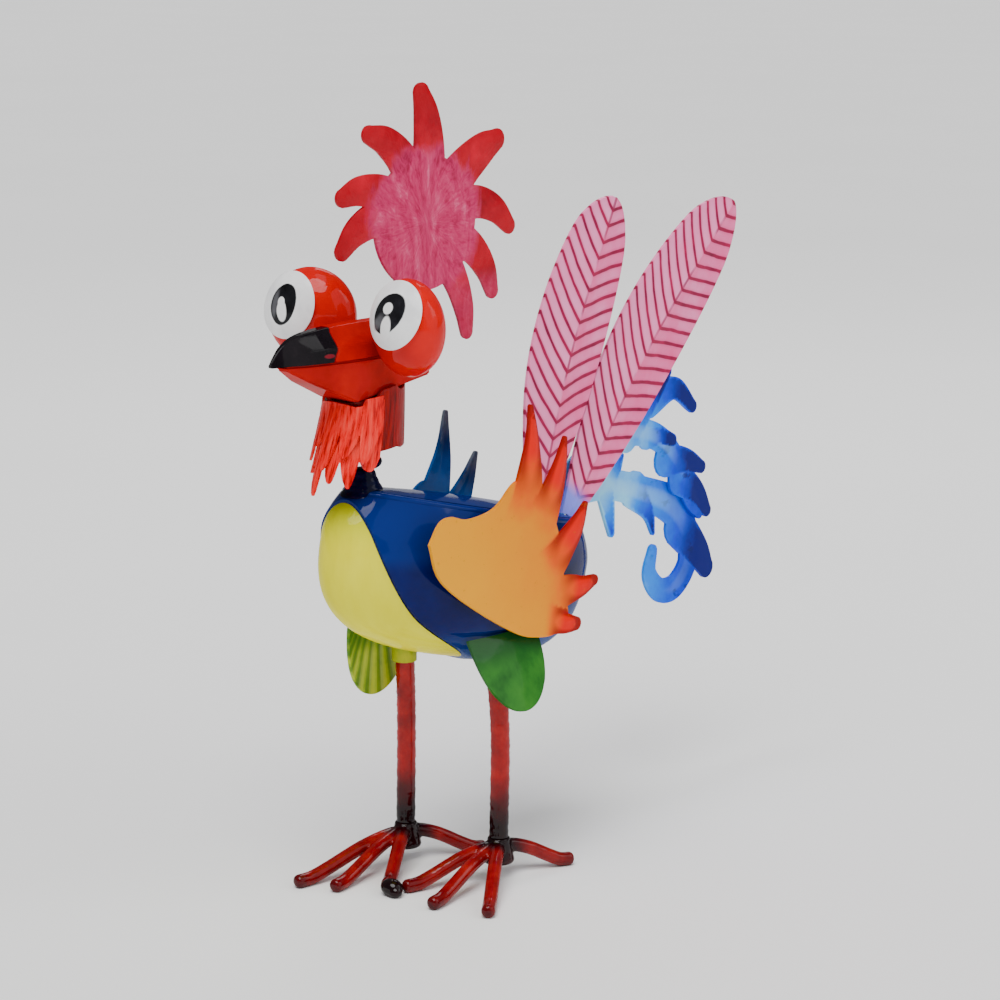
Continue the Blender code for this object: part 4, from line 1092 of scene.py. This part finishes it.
def eye_white(side, aim, inner, outer, reach, name):
    """The thin oval plate on the eye, with a rounded rim; keeps each point's slopes."""
    angles = circle(96)
    levels = [(outer, s) for s in [0.02] + [k / 28 for k in range(1, 28)] + [0.985]]
    levels += [(outer - 0.0001, 0.996), (blend(inner, outer, 0.5), 1.0), (inner, 0.995)]
    levels += [(inner, s) for s in (0.9, 0.7, 0.5, 0.3, 0.1, 0.02)]
    rings = []
    slopes = []
    for level, share in levels:
        ring = [(share * reach[0] * math.cos(a), share * reach[1] * math.sin(a)) for a in angles]
        rings.append([eye_spot(side, aim, level, out, rise) for out, rise in ring])
        slopes += ring
    mesh = loft(rings, name)
    set_floats(mesh, "disc_x", [slope[0] for slope in slopes])
    set_floats(mesh, "disc_y", [slope[1] for slope in slopes])
    return mesh


def build_eyes():
    red = Paint("eyeball_red_enamel", coat=0.40, coat_roughness=0.03)
    tone = red.ramp(red.noise(40.0, 4.0, 0.6), (0.25, (184, 0, 2)), (0.55, (208, 0, 0)), (0.85, (228, 12, 6)))
    red.enamel(tone, 0.12, 0.22, 0.05)
    for side, hand, aim in EYES:
        globe = eye_ball(side, 0.0, int(128 * FINE), int(72 * FINE), 0.006)
        new_piece(hand + "_eye_globe", globe, [red.material], hand + "_eyeball", 60.0)
        name = hand + "_eye_white_disc"
        disc = eye_white(side, aim, GAP, GAP + EYE_WHITE_THICKNESS, EYE_WHITE_REACH, name)
        new_piece(name, disc, [eye_paint(hand)], hand + "_eye_white", 60.0)


def eye_paint(hand):
    """White oval with a leaning black pupil, a painted glint and a soft grey painted reflection."""
    paint = Paint(hand + "_eye_enamel", coat=0.35, coat_roughness=0.04)
    x = paint.mask("disc_x")
    y = paint.mask("disc_y")
    ragged = paint.uneven(0.06, 500.0, 2.0)

    def patch(cx, cy, wide, tall, lean, soft):
        """1 inside an oval that leans by so many degrees."""
        turn = math.radians(lean)
        dx = paint.minus(x, cx)
        dy = paint.minus(y, cy)
        along = paint.add(paint.times(dx, math.cos(turn) / wide), paint.times(dy, -math.sin(turn) / wide))
        across = paint.add(paint.times(dx, math.sin(turn) / tall), paint.times(dy, math.cos(turn) / tall))
        far = paint.math("SQRT", paint.add(paint.times(along, along), paint.times(across, across)))
        return paint.between(paint.add(far, ragged), 1.0 + soft, 1.0 - soft)

    tone = paint.ramp(paint.noise(90.0, 4.0, 0.6), (0.3, (232, 232, 234)), (0.6, (250, 250, 250)),
                      (0.9, (255, 255, 255)))
    black = paint.ramp(paint.noise(150.0, 4.0, 0.6), (0.3, (12, 12, 14)), (0.6, (28, 28, 32)),
                       (0.85, (52, 52, 58)))
    # The grey kind is a soft painted reflection, and the light kind a painted glint
    kinds = {"dark": (black, 0.035), "soft_reflection": ((88, 88, 92), 0.45), "light": ((250, 250, 250), 0.10)}
    for cx, cy, wide, tall, lean, kind in PUPILS[hand]:
        shade, soft = kinds[kind]
        tone = paint.mix(tone, shade, patch(cx, cy, wide, tall, lean, soft))
    return paint.enamel(tone, 0.14, 0.24, 0.04)


# Comb

def comb_claws():
    found = []
    y, z = COMB_CENTRE
    for tip, reach, root, width in zip(CLAW_TIPS, CLAW_REACHES, CLAW_ROOTS, CLAW_SHARES):
        spine = []
        for share in (0.42, 0.64, 0.84, 1.0):
            angle = math.radians(blend(root, tip, share ** 2.4))
            distance = (reach - CLAW_TIP_WIDTH / 2) * share
            spine.append((y + distance * math.cos(angle), z + distance * math.sin(angle)))
        widths = [w * width for w in (CLAW_WIDTH * 1.15, CLAW_WIDTH, CLAW_WIDTH * 0.82, CLAW_TIP_WIDTH)]
        found.append((spine, widths))
    return found


def comb_claw_share(u, v):
    out = np.zeros(len(u))
    ridge = np.zeros(len(u))
    for spine, widths in comb_claws():
        share, off = along_stroke(u, v, spine, widths)
        out = np.maximum(out, share * clip01((1.5 - off) * 2.0))
        ridge = np.maximum(ridge, clip01(1.0 - off ** 2) * eased(clip01(share * 1.8)))
    return out, ridge


def comb_paint():
    """Pink brushed outwards from the middle, red on the claws."""
    paint = Paint("comb_pink_enamel", coat=0.28, coat_roughness=0.10)
    centred = paint.node("VectorMath", (0, paint.cut()), (1, (COMB_CENTRE[0], COMB_CENTRE[1], 0.0)))
    centred.operation = "SUBTRACT"
    y = paint.axis(centred.outputs[0], "X")
    z = paint.axis(centred.outputs[0], "Y")
    far = paint.mask("far")
    angle = paint.math("ARCTAN2", z, y)
    polar = paint.node("CombineXYZ", (0, paint.times(angle, 1.5)), (1, paint.times(far, 1.1))).outputs[0]
    feathery = paint.noise(4.0, 4.0, 0.62, paint.stretch(polar, (1.5, 0.9, 1.0)), 1.6)
    barbs = paint.noise(60.0, 5.0, 0.68, paint.stretch(paint.place(), (1.0, 1.0, 0.42), (-28, 0, 0)), 2.4)
    mixed = paint.add(paint.times(feathery, 0.35), paint.times(barbs, 0.65))
    pink = paint.ramp(mixed, (0.36, (158, 16, 62)), (0.45, (192, 36, 90)), (0.55, (208, 60, 108)),
                      (0.66, (228, 104, 144)))
    red = paint.ramp(paint.noise(60.0, 4.0, 0.6), (0.3, (138, 0, 20)), (0.52, (180, 0, 30)),
                     (0.78, (216, 4, 44)))
    edge = paint.add(far, paint.times(paint.minus(barbs, 0.5), 0.75))
    tone = paint.mix(pink, red, paint.between(edge, 0.98, 1.22))
    tone = paint.mix(tone, (172, 0, 22), paint.between(paint.mask("claw"), 0.45, 1.0), 0.6)
    tone = paint.mix(tone, pink, paint.between(z, -0.020, -0.030), 0.55)
    paint.base(tone)
    paint.rough(0.20, 0.38)
    paint.bump(mixed, 0.45, 0.0014)
    return paint.material


def build_comb():
    low = HEAD_RIDGE + GAP
    front = HEAD_BACK - COMB_TAB[0]
    tab = [(front, low), (HEAD_BACK, low), (HEAD_BACK + COMB_TAB[1], COMB_CENTRE[1]), (front, COMB_CENTRE[1])]
    shapes = [oval(COMB_CENTRE, COMB_DISC, 120)] + [claw(s, w, 30) for s, w in comb_claws()] + [tab]
    points, faces = filled(shapes, 0.0016 / FINE)

    def place(u, v):
        _, ridge = comb_claw_share(u, v)
        bow = 0.0006 * np.sin((u - COMB_CENTRE[0]) * 60.0) * np.sin((v - COMB_CENTRE[1]) * 45.0)
        return np.stack((0.0005 * ridge + bow, u, v), axis=1)

    def masks(u, v):
        out, _ = comb_claw_share(u, v)
        far = np.hypot((u - COMB_CENTRE[0]) / COMB_DISC[0], (v - COMB_CENTRE[1]) / COMB_DISC[1])
        return {"claw": out, "far": far}
    face = comb_paint()
    rim = simple_paint("comb_cut_edge", (204, 8, 30), (158, 0, 14), (232, 60, 80), 120.0)
    mesh = plate("comb_sheet", points, faces, place, SHEET, masks)
    new_piece("comb_sheet", mesh, [face, face, rim], "comb")


# Tail

FEATHER_PITCH = 0.0072
FEATHER_BARB = (0.60, 0.85)     # how steeply the barbs climb, on the back and front halves
FEATHER_BARE = 0.016            # the foot of each feather is bare of barbs


def feather_width(share):
    body = curve_through((0.16, 0.62, 0.92, 1.0, 0.88, 0.56), 201)
    tip = np.maximum((share - 0.86) / 0.14, 0.0)
    return body[np.round(200 * clip01(share)).astype(int)] * np.sqrt(np.maximum(1.0 - tip ** 2.2, 0.012))


def feather_paint():
    """Pink with a herringbone of maroon barbs, bare and blue at the foot."""
    paint = Paint("feather_pink_enamel", coat=0.22, coat_roughness=0.06)
    across = paint.axis(paint.cut(), "X")
    along = paint.axis(paint.cut(), "Y")
    side = paint.math("ABSOLUTE", across)
    front = paint.between(across, -0.0001, 0.0001)
    slope = paint.add(paint.times(front, FEATHER_BARB[1] - FEATHER_BARB[0]), FEATHER_BARB[0])
    phase = paint.add(paint.minus(along, paint.times(side, slope)), paint.uneven(0.0014, 70.0, 2.0))
    wave = paint.math("PINGPONG", phase, FEATHER_PITCH / 2)
    thick = paint.add(0.00045, paint.times(paint.noise(160.0, 2.0), 0.0005))
    line = paint.between(wave, paint.add(thick, 0.00035), thick)
    tone = paint.ramp(paint.noise(55.0, 4.0, 0.6), (0.25, (246, 92, 152)), (0.5, (250, 116, 172)),
                      (0.8, (255, 150, 200)))
    tone = paint.mix(tone, (250, 168, 214), paint.between(across, -0.0008, 0.0008), 0.45)
    # Painted shade: the pink darkens towards each embossed barb line
    shade = paint.between(wave, 0.0003, FEATHER_PITCH * 0.36)
    tone = paint.mix(paint.mix(tone, (232, 70, 128), 0.6), tone, shade)
    stem = paint.between(side, 0.0009, 0.0003)
    broken = paint.between(paint.noise(55.0, 2.0), 0.40, 0.55)
    line = paint.math("MAXIMUM", line, paint.times(paint.times(stem, broken), 0.8))
    maroon = paint.ramp(paint.noise(120.0, 3.0), (0.3, (108, 0, 38)), (0.7, (166, 8, 66)))
    tone = paint.mix(tone, maroon, line, 0.92)
    bare = paint.ramp(paint.noise(80.0, 3.0), (0.3, (70, 76, 214)), (0.6, (134, 140, 250)))
    paint.base(paint.mix(tone, bare, paint.between(along, FEATHER_BARE + 0.004, FEATHER_BARE - 0.004)))
    paint.rough(0.18, 0.30)
    paint.bump(paint.noise(45.0, 2.0), 0.15, 0.0015)
    paint.bump(line, 0.25, 0.0004)
    return paint.material


def build_feather(name, node, foot, length, lean, paints):
    turn = math.radians(lean)
    start = np.array((foot[1], back_line(foot[1]) - 0.004))
    along = np.array((math.sin(turn), math.cos(turn)))
    across = np.array((-along[1], along[0]))
    end = start + along * length
    middle = (start + end) / 2 + across * length * 0.03
    line = curve_through([start, middle, end], 401)
    slope = np.gradient(line, axis=0)
    slope = slope / np.linalg.norm(slope, axis=1)[:, None]
    out = np.stack((-slope[:, 1], slope[:, 0]), axis=1)
    knots, faces = grid(150, 25)
    share = 1.0 - (1.0 - knots[:, 0]) ** 1.15
    place_across = knots[:, 1] * 2 - 1
    bow = 0.0008

    def spot(s, t):
        index = clip01(s) * 400
        low = np.floor(index).astype(int)
        high = np.minimum(low + 1, 400)
        part = (index - low)[:, None]
        width = feather_width(s)
        half = (FEATHER_WIDTH / 2 * width)[:, None] * t[:, None]
        flat = blend(line[low], line[high], part) + blend(out[low], out[high], part) * half
        back = np.abs(t) * FEATHER_FOLD * width + bow * np.sin(np.pi * np.abs(t)) * width
        return np.stack((foot[0] - back, flat[:, 0], flat[:, 1]), axis=1)
    eps = 0.004
    ds = spot(np.minimum(share + eps, 1.0), place_across) - spot(np.maximum(share - eps, 0.0), place_across)
    dt = spot(share, place_across + eps) - spot(share, place_across - eps)
    normal = np.cross(dt, ds)
    normal = normal / np.maximum(np.linalg.norm(normal, axis=1), 1e-9)[:, None]
    normal[normal[:, 0] < 0] *= -1
    flat_across = place_across * FEATHER_WIDTH / 2 * feather_width(share)
    cut = list(zip(flat_across.tolist(), (share * length).tolist()))
    mesh = sheet_mesh(name, spot(share, place_across), normal, faces, cut, SHEET, {}, outward=True)
    new_piece(name, clear_of_body(mesh, name), paints, node, 14.0)


# Each frond's spine and widths, in shares of the plume's length from its root
PLUME_FRONDS = {
    "upper": (
        (((-0.09, -0.11), (0.10, 0.06), (0.38, 0.186), (0.62, 0.155), (0.77, 0.036), (0.87, -0.145),
          (0.93, -0.220)),
         (0.10, 0.11, 0.118, 0.11, 0.10, 0.075, 0.04)),
        (((0.455, 0.17), (0.60, 0.31), (0.69, 0.41)), (0.13, 0.115, 0.09)),
        (((0.60, 0.29), (0.755, 0.33), (0.875, 0.24)), (0.13, 0.095, 0.055)),
        (((0.58, 0.145), (0.664, 0.145), (0.745, 0.118)), (0.09, 0.075, 0.055)),
        (((0.71, 0.04), (0.84, 0.02), (0.94, -0.022)), (0.145, 0.10, 0.055)),
        (((0.80, -0.05), (0.91, -0.125), (0.98, -0.212)), (0.145, 0.10, 0.055)),
    ),
    "lower": (
        (((-0.09, -0.13), (0.12, -0.03), (0.364, -0.014), (0.59, -0.082), (0.773, -0.164), (0.873, -0.29),
          (0.882, -0.418), (0.80, -0.505), (0.70, -0.505), (0.632, -0.427), (0.65, -0.332)),
         (0.09, 0.10, 0.12, 0.136, 0.155, 0.136, 0.118, 0.113, 0.10, 0.082, 0.055)),
        (((0.345, -0.02), (0.368, -0.127), (0.386, -0.214)), (0.11, 0.073, 0.036)),
        (((0.527, -0.06), (0.618, -0.164), (0.65, -0.256)), (0.16, 0.073, 0.022)),
        (((0.38, 0.0), (0.42, 0.055), (0.445, 0.092)), (0.09, 0.055, 0.027)),
        (((0.82, -0.255), (0.945, -0.382), (1.005, -0.462)), (0.18, 0.136, 0.09)),
    ),
}


def plume_paint():
    paint = Paint("plume_blue_enamel", coat=0.28, coat_roughness=0.06)
    far = paint.mask("far")
    cloud = paint.uneven(0.35, 55.0, 4.0, 0.6)
    tone = paint.ramp(paint.add(far, cloud), (0.0, (80, 176, 253)), (0.34, (140, 218, 255)),
                      (0.52, (10, 136, 252)), (0.72, (0, 60, 220)), (0.94, (0, 12, 108)))
    slanted = paint.stretch(paint.place(), (1, 1, 1.6), (30, 0, 0))
    dab = paint.between(paint.noise(75.0, 3.0, 0.6, slanted), 0.60, 0.68)
    tone = paint.mix(tone, (0, 14, 92), paint.times(dab, paint.between(far, 0.45, 0.75)), 0.8)
    pale = paint.times(paint.between(paint.mask("ridge"), 0.62, 0.97), paint.between(far, 0.85, 0.45))
    return paint.enamel(paint.mix(tone, (150, 212, 253), pale, 0.45), 0.18, 0.30, 0.08)


def build_plume(which, x, bend, paints):
    fronds = []
    for spine, widths in PLUME_FRONDS[which]:
        spine = [(PLUME_ROOT[0] + u * PLUME_LENGTH, PLUME_ROOT[1] + v * PLUME_LENGTH) for u, v in spine]
        fronds.append((spine, [w * PLUME_LENGTH for w in widths]))
    shapes = [claw(s, w, 90 if k == 0 else 26) for k, (s, w) in enumerate(fronds)]
    points, faces = filled(shapes, 0.0014 / FINE)

    def masks(u, v):
        far = clip01((u - PLUME_ROOT[0]) / (PLUME_LENGTH * 1.15))
        share, off = along_stroke(u, v, *fronds[0])
        ridge = clip01(1.0 - off ** 2) * clip01((1.0 - share) * 3)
        for spine, widths in fronds[1:]:
            share, off = along_stroke(u, v, spine, widths)
            far = np.maximum(far, clip01((1.2 - off) * 3) * (far + 0.42 * share))
        return {"far": far, "ridge": ridge}

    def place(u, v):
        return np.stack((x + bend * masks(u, v)["ridge"], u, v), axis=1)
    name = which + "_plume_sheet"
    mesh = clear_of_body(plate(name, points, faces, place, SHEET, masks), name)
    new_piece(name, mesh, paints, which + "_tail_plume")


def build_tail():
    pink = feather_paint()
    edge = simple_paint("feather_cut_edge", (176, 30, 84), (112, 6, 46), (222, 100, 150), 120.0)
    for which, *sizes in (("front", FRONT_FEATHER, FRONT_FEATHER_LENGTH, FRONT_FEATHER_LEAN),
                          ("rear", REAR_FEATHER, REAR_FEATHER_LENGTH, REAR_FEATHER_LEAN)):
        build_feather(which + "_feather_sheet", which + "_tail_feather", *sizes, [pink, pink, edge])
    blue = plume_paint()
    rim = simple_paint("plume_cut_edge", (20, 104, 226), (0, 44, 160), (120, 190, 250), 120.0)
    build_plume("upper", UPPER_PLUME_X, 0.0006, [blue, blue, rim])
    build_plume("lower", LOWER_PLUME_X, -0.0003, [blue, blue, rim])


# Legs

def leg_line(side, foot_y, end, count):
    x = side * LEG_SPREAD
    top = UNDERSIDE + 2 * SOCKET_LENGTH
    return curve_through([
        (x * 0.78, foot_y - 0.0055, top), (x * 0.93, foot_y - 0.0015, blend(end, top, 0.72)),
        (x, foot_y + 0.0008, blend(end, top, 0.42)), (x, foot_y, end)], count)


def bar_paint(name, coat, coat_roughness, cloud_scale, shades, bump):
    """Lumpy weld-spattered bar: its tone, to be darkened and then given to base."""
    paint = Paint(name, coat, coat_roughness)
    dark, mid, light = shades
    tone = paint.ramp(paint.noise(cloud_scale, 4.0, 0.6), (0.25, dark), (0.5, mid), (0.8, light))
    paint.rough(0.14, 0.30, 160.0)
    scale, strength, distance = bump
    paint.bump(paint.noise(scale, 2.0, 0.5), strength, distance)
    return paint, tone


def leg_paint():
    """Red that darkens to near black over the ankle."""
    paint, tone = bar_paint("leg_red_enamel", 0.55, 0.04, 120.0, ((120, 2, 6), (160, 8, 10), (200, 26, 16)),
                            (210.0, 0.5, 0.0008))
    height = paint.add(paint.axis(paint.place(), "Z"), paint.uneven(0.012, 90.0, 3.0))
    tone = paint.mix(tone, (86, 2, 8), paint.between(height, 0.046, 0.030))
    paint.base(paint.mix(tone, (20, 3, 6), paint.between(height, 0.036, 0.022)))
    return paint.material


def build_legs():
    red = leg_paint()
    lime = Paint("socket_lime_enamel", coat=0.25)
    lime.enamel(lime.ramp(lime.noise(90.0, 3.0), (0.3, (140, 164, 14)), (0.55, (196, 200, 30)),
                          (0.8, (230, 212, 30))))
    steps = 120
    for side, hand, foot_y in FEET:
        line = leg_line(side, foot_y, ANKLE_HEIGHT, steps)
        radii = []
        for step in range(steps):
            ripple = 0.00008 * math.sin(step * 0.9 + side)
            ripple += 0.00010 * math.sin(step * 0.31) * math.sin(step * 2.3)
            radii.append(LEG_BAR / 2 - 0.0003 + ripple)
        name = hand + "_leg_bar"
        new_piece(name, clear_of_body(tube(line, radii, 32, name), name), [red], hand + "_leg", 60.0)
        middle = min(line, key=lambda point: abs(point[2] - UNDERSIDE))
        foot = UNDERSIDE - SOCKET_LENGTH
        top = UNDERSIDE + SOCKET_LENGTH
        cup = turned(((LEG_BAR / 2 + 0.0002, foot), (LEG_BAR / 2 + 0.0008, foot + 0.0002),
                      (SOCKET_RADIUS * 0.98, blend(foot, top, 0.3)), (SOCKET_RADIUS, blend(foot, top, 0.5)),
                      (SOCKET_RADIUS, top)), middle, 40, "cup")
        bore = tube(leg_line(side, foot_y, ANKLE_HEIGHT, 60), [LEG_BAR / 2 + GAP / 2] * 60, 32, "bore")
        name = hand + "_socket_cup"
        new_piece(name, clear_of_body(cup, name, bore), [lime.material], hand + "_leg_socket", 40.0)


def leaf_paint(name, light, mid, dark, fluted):
    paint = Paint(name, coat=0.26, coat_roughness=0.07)
    across = paint.axis(paint.cut(), "X")
    down = paint.axis(paint.cut(), "Y")
    tone = paint.ramp(paint.noise(60.0, 4.0, 0.6), (0.25, dark), (0.5, mid), (0.8, light))
    fan = paint.math("DIVIDE", across, paint.add(down, 0.020))
    flute = paint.math("SINE", paint.times(fan, 42.0))
    # Painted light and shade: each flute is darker on one side and lighter on the other
    if fluted:
        tone = paint.mix(tone, dark, paint.between(flute, 0.1, 0.9), 0.65)
        tone = paint.mix(tone, light, paint.between(flute, -0.2, -0.9), 0.5)
    # Painted shade: darker near the root, where the leaf tucks under the body
    paint.base(paint.mix(tone, dark, paint.between(down, 0.016, 0.006), 0.8))
    paint.rough(0.20, 0.34)
    paint.bump(paint.noise(60.0, 3.0), 0.3, 0.0012)
    if fluted:
        paint.bump(flute, 0.5, 0.0006)
    return paint.material


def build_leaf(hand, side, outside, middle_y, width, splays, paint):
    steps = 90
    angles = [math.pi * step / steps for step in range(steps + 1)]
    outline = [(width / 2 * math.cos(a), LEAF_LENGTH * math.sin(a) ** 0.8) for a in angles]
    points, faces = filled([outline], 0.0013 / FINE)

    def place(u, v):
        x = np.full(len(u), LEG_SPREAD + outside)
        z = np.full(len(u), UNDERSIDE + LEAF_TUCK)
        bends = 8
        for bend in range(bends):
            splay = np.radians(blend(splays[0], splays[1], v / LEAF_LENGTH * (bend + 0.5) / bends))
            x = x + v / bends * np.sin(splay)
            z = z - v / bends * np.cos(splay)
        x = x - LEAF_CUP * (2 * u / width) ** 2
        return np.stack((side * x, middle_y + u, z), axis=1)
    name = hand + "_leaf_sheet"
    mesh = clear_of_body(plate(name, points, faces, place, SHEET), name)
    new_piece(name, mesh, [paint] * 3, hand + "_thigh_leaf")


def build_leaves():
    green = leaf_paint("leaf_green_enamel", (62, 132, 46), (46, 112, 40), (22, 70, 30), False)
    lime = leaf_paint("leaf_lime_enamel", (214, 226, 60), (168, 196, 44), (74, 124, 30), True)
    build_leaf("left", 1, LEFT_LEAF_OUTSIDE, LEFT_LEAF_Y, LEFT_LEAF_WIDTH, LEFT_LEAF_SPLAY, green)
    build_leaf("right", -1, RIGHT_LEAF_OUTSIDE, RIGHT_LEAF_Y, RIGHT_LEAF_WIDTH, RIGHT_LEAF_SPLAY, lime)


TOES = {
    "left": ((-18.53, 0.0450), (9.5, 0.0510), (37.3, 0.0530), (156.5, 0.0345)),
    "right": ((-33.04, 0.0420), (8.0, 0.0580), (-8.4, 0.0515), (-146.0, 0.0350)),
}


def toe_line(hub, heading, reach, count):
    floor = TOE_BAR / 2 - TOE_FLAT
    angle = math.radians(heading)
    points = []
    for share, rise in ((0.0, 0.92), (0.16, 1.0), (0.42, 0.76), (0.72, 0.26), (0.88, 0.03), (1.0, 0.0)):
        points.append((hub[0] + reach * share * math.sin(angle), hub[1] - reach * share * math.cos(angle),
                       floor + rise * TOE_ARCH))
    return curve_through(points, count)


def welded(parts, voxel, name):
    """Joins closed meshes into one skin with soft welds, standing on the floor."""
    work = bmesh.new()
    for part in parts:
        work.from_mesh(part)
    piece = linked(name, mesh_of(work, name))
    remesh = piece.modifiers.new("weld", "REMESH")
    remesh.mode = "VOXEL"
    remesh.voxel_size = voxel
    smooth = piece.modifiers.new("soften", "SMOOTH")
    smooth.iterations = 2
    smooth.factor = 0.5
    bpy.context.view_layer.update()
    mesh = evaluated(piece, name)
    spots = np.empty(len(mesh.vertices) * 3)
    mesh.vertices.foreach_get("co", spots)
    spots = spots.reshape(-1, 3)
    spots[:, 2] = np.maximum(spots[:, 2], 0.0)
    mesh.vertices.foreach_set("co", spots.ravel())
    mesh.update()
    return mesh, spots


def toe_paint():
    """Dark red, near black at the welds and tips."""
    paint, tone = bar_paint("toe_red_enamel", 0.50, 0.05, 110.0, ((100, 6, 10), (134, 12, 14), (168, 28, 22)),
                            (230.0, 0.4, 0.0007))
    dark = paint.add(paint.mask("dark"), paint.uneven(0.5, 120.0, 3.0))
    tone = paint.mix(tone, (66, 2, 8), paint.between(dark, 0.25, 0.7))
    paint.base(paint.mix(tone, (18, 3, 6), paint.between(dark, 0.55, 1.0)))
    return paint.material


def build_feet():
    red = toe_paint()
    for side, hand, foot_y in FEET:
        hub = (side * LEG_SPREAD, foot_y)
        parts = []
        tips = []
        for heading, reach in TOES[hand]:
            line = toe_line(hub, side * heading, reach - TOE_BAR / 2 * BAR_TIP, 40)
            points, radii = bar_line(line, TOE_BAR / 2)
            parts.append(tube(points, radii, 28, "toe"))
            tips.append(points[-1])
        low = TOE_BAR
        parts.append(turned((
            (ANKLE_WELD_RADIUS * 0.9, low), (ANKLE_WELD_RADIUS, low + 0.0012),
            (blend(ANKLE_WELD_RADIUS, LEG_BAR / 2, 0.45), blend(low, ANKLE_HEIGHT, 0.5)),
            (LEG_BAR / 2 + 0.0003, ANKLE_HEIGHT - GAP)), hub, 40, "ankle"))
        name = hand + "_foot_welded"
        mesh, spots = welded(parts, 0.00055 / FINE, name)
        far = np.full(len(spots), 1.0)
        for tip in tips:
            far = np.minimum(far, np.linalg.norm(spots - np.array(tip), axis=1))
        from_hub = np.hypot(spots[:, 0] - hub[0], spots[:, 1] - hub[1])
        dark = np.maximum(0.62 * clip01(1.0 - far / 0.024), clip01(1.35 - from_hub / 0.013))
        set_floats(mesh, "dark", dark)
        new_piece(name, mesh, [red], hand + "_foot", 70.0)
    blobs = []
    for dx, dy, grow in ((0.0, 0.0, 1.0), (0.0022, -0.0009, 0.72), (-0.0024, 0.0008, 0.7)):
        blob = ball(32, 20)
        size = Matrix.Diagonal([s * grow for s in TOE_WELD_SIZE] + [1.0])
        place = (TOE_WELD_PLACE[0] + dx, TOE_WELD_PLACE[1] + dy, TOE_WELD_SIZE[2] * grow - TOE_FLAT)
        blob.transform(Matrix.Translation(place) @ size)
        blobs.append(blob)
    mesh, spots = welded(blobs, 0.0004, "toe_weld_blob")
    set_floats(mesh, "dark", np.full(len(spots), 0.95))
    new_piece("toe_weld_blob", mesh, [red], "toe_weld", 70.0)


build_stage()
build_body()
build_wings()
build_neck()
build_hackles()
build_head()
build_eyes()
build_comb()
build_tail()
build_legs()
build_leaves()
build_feet()
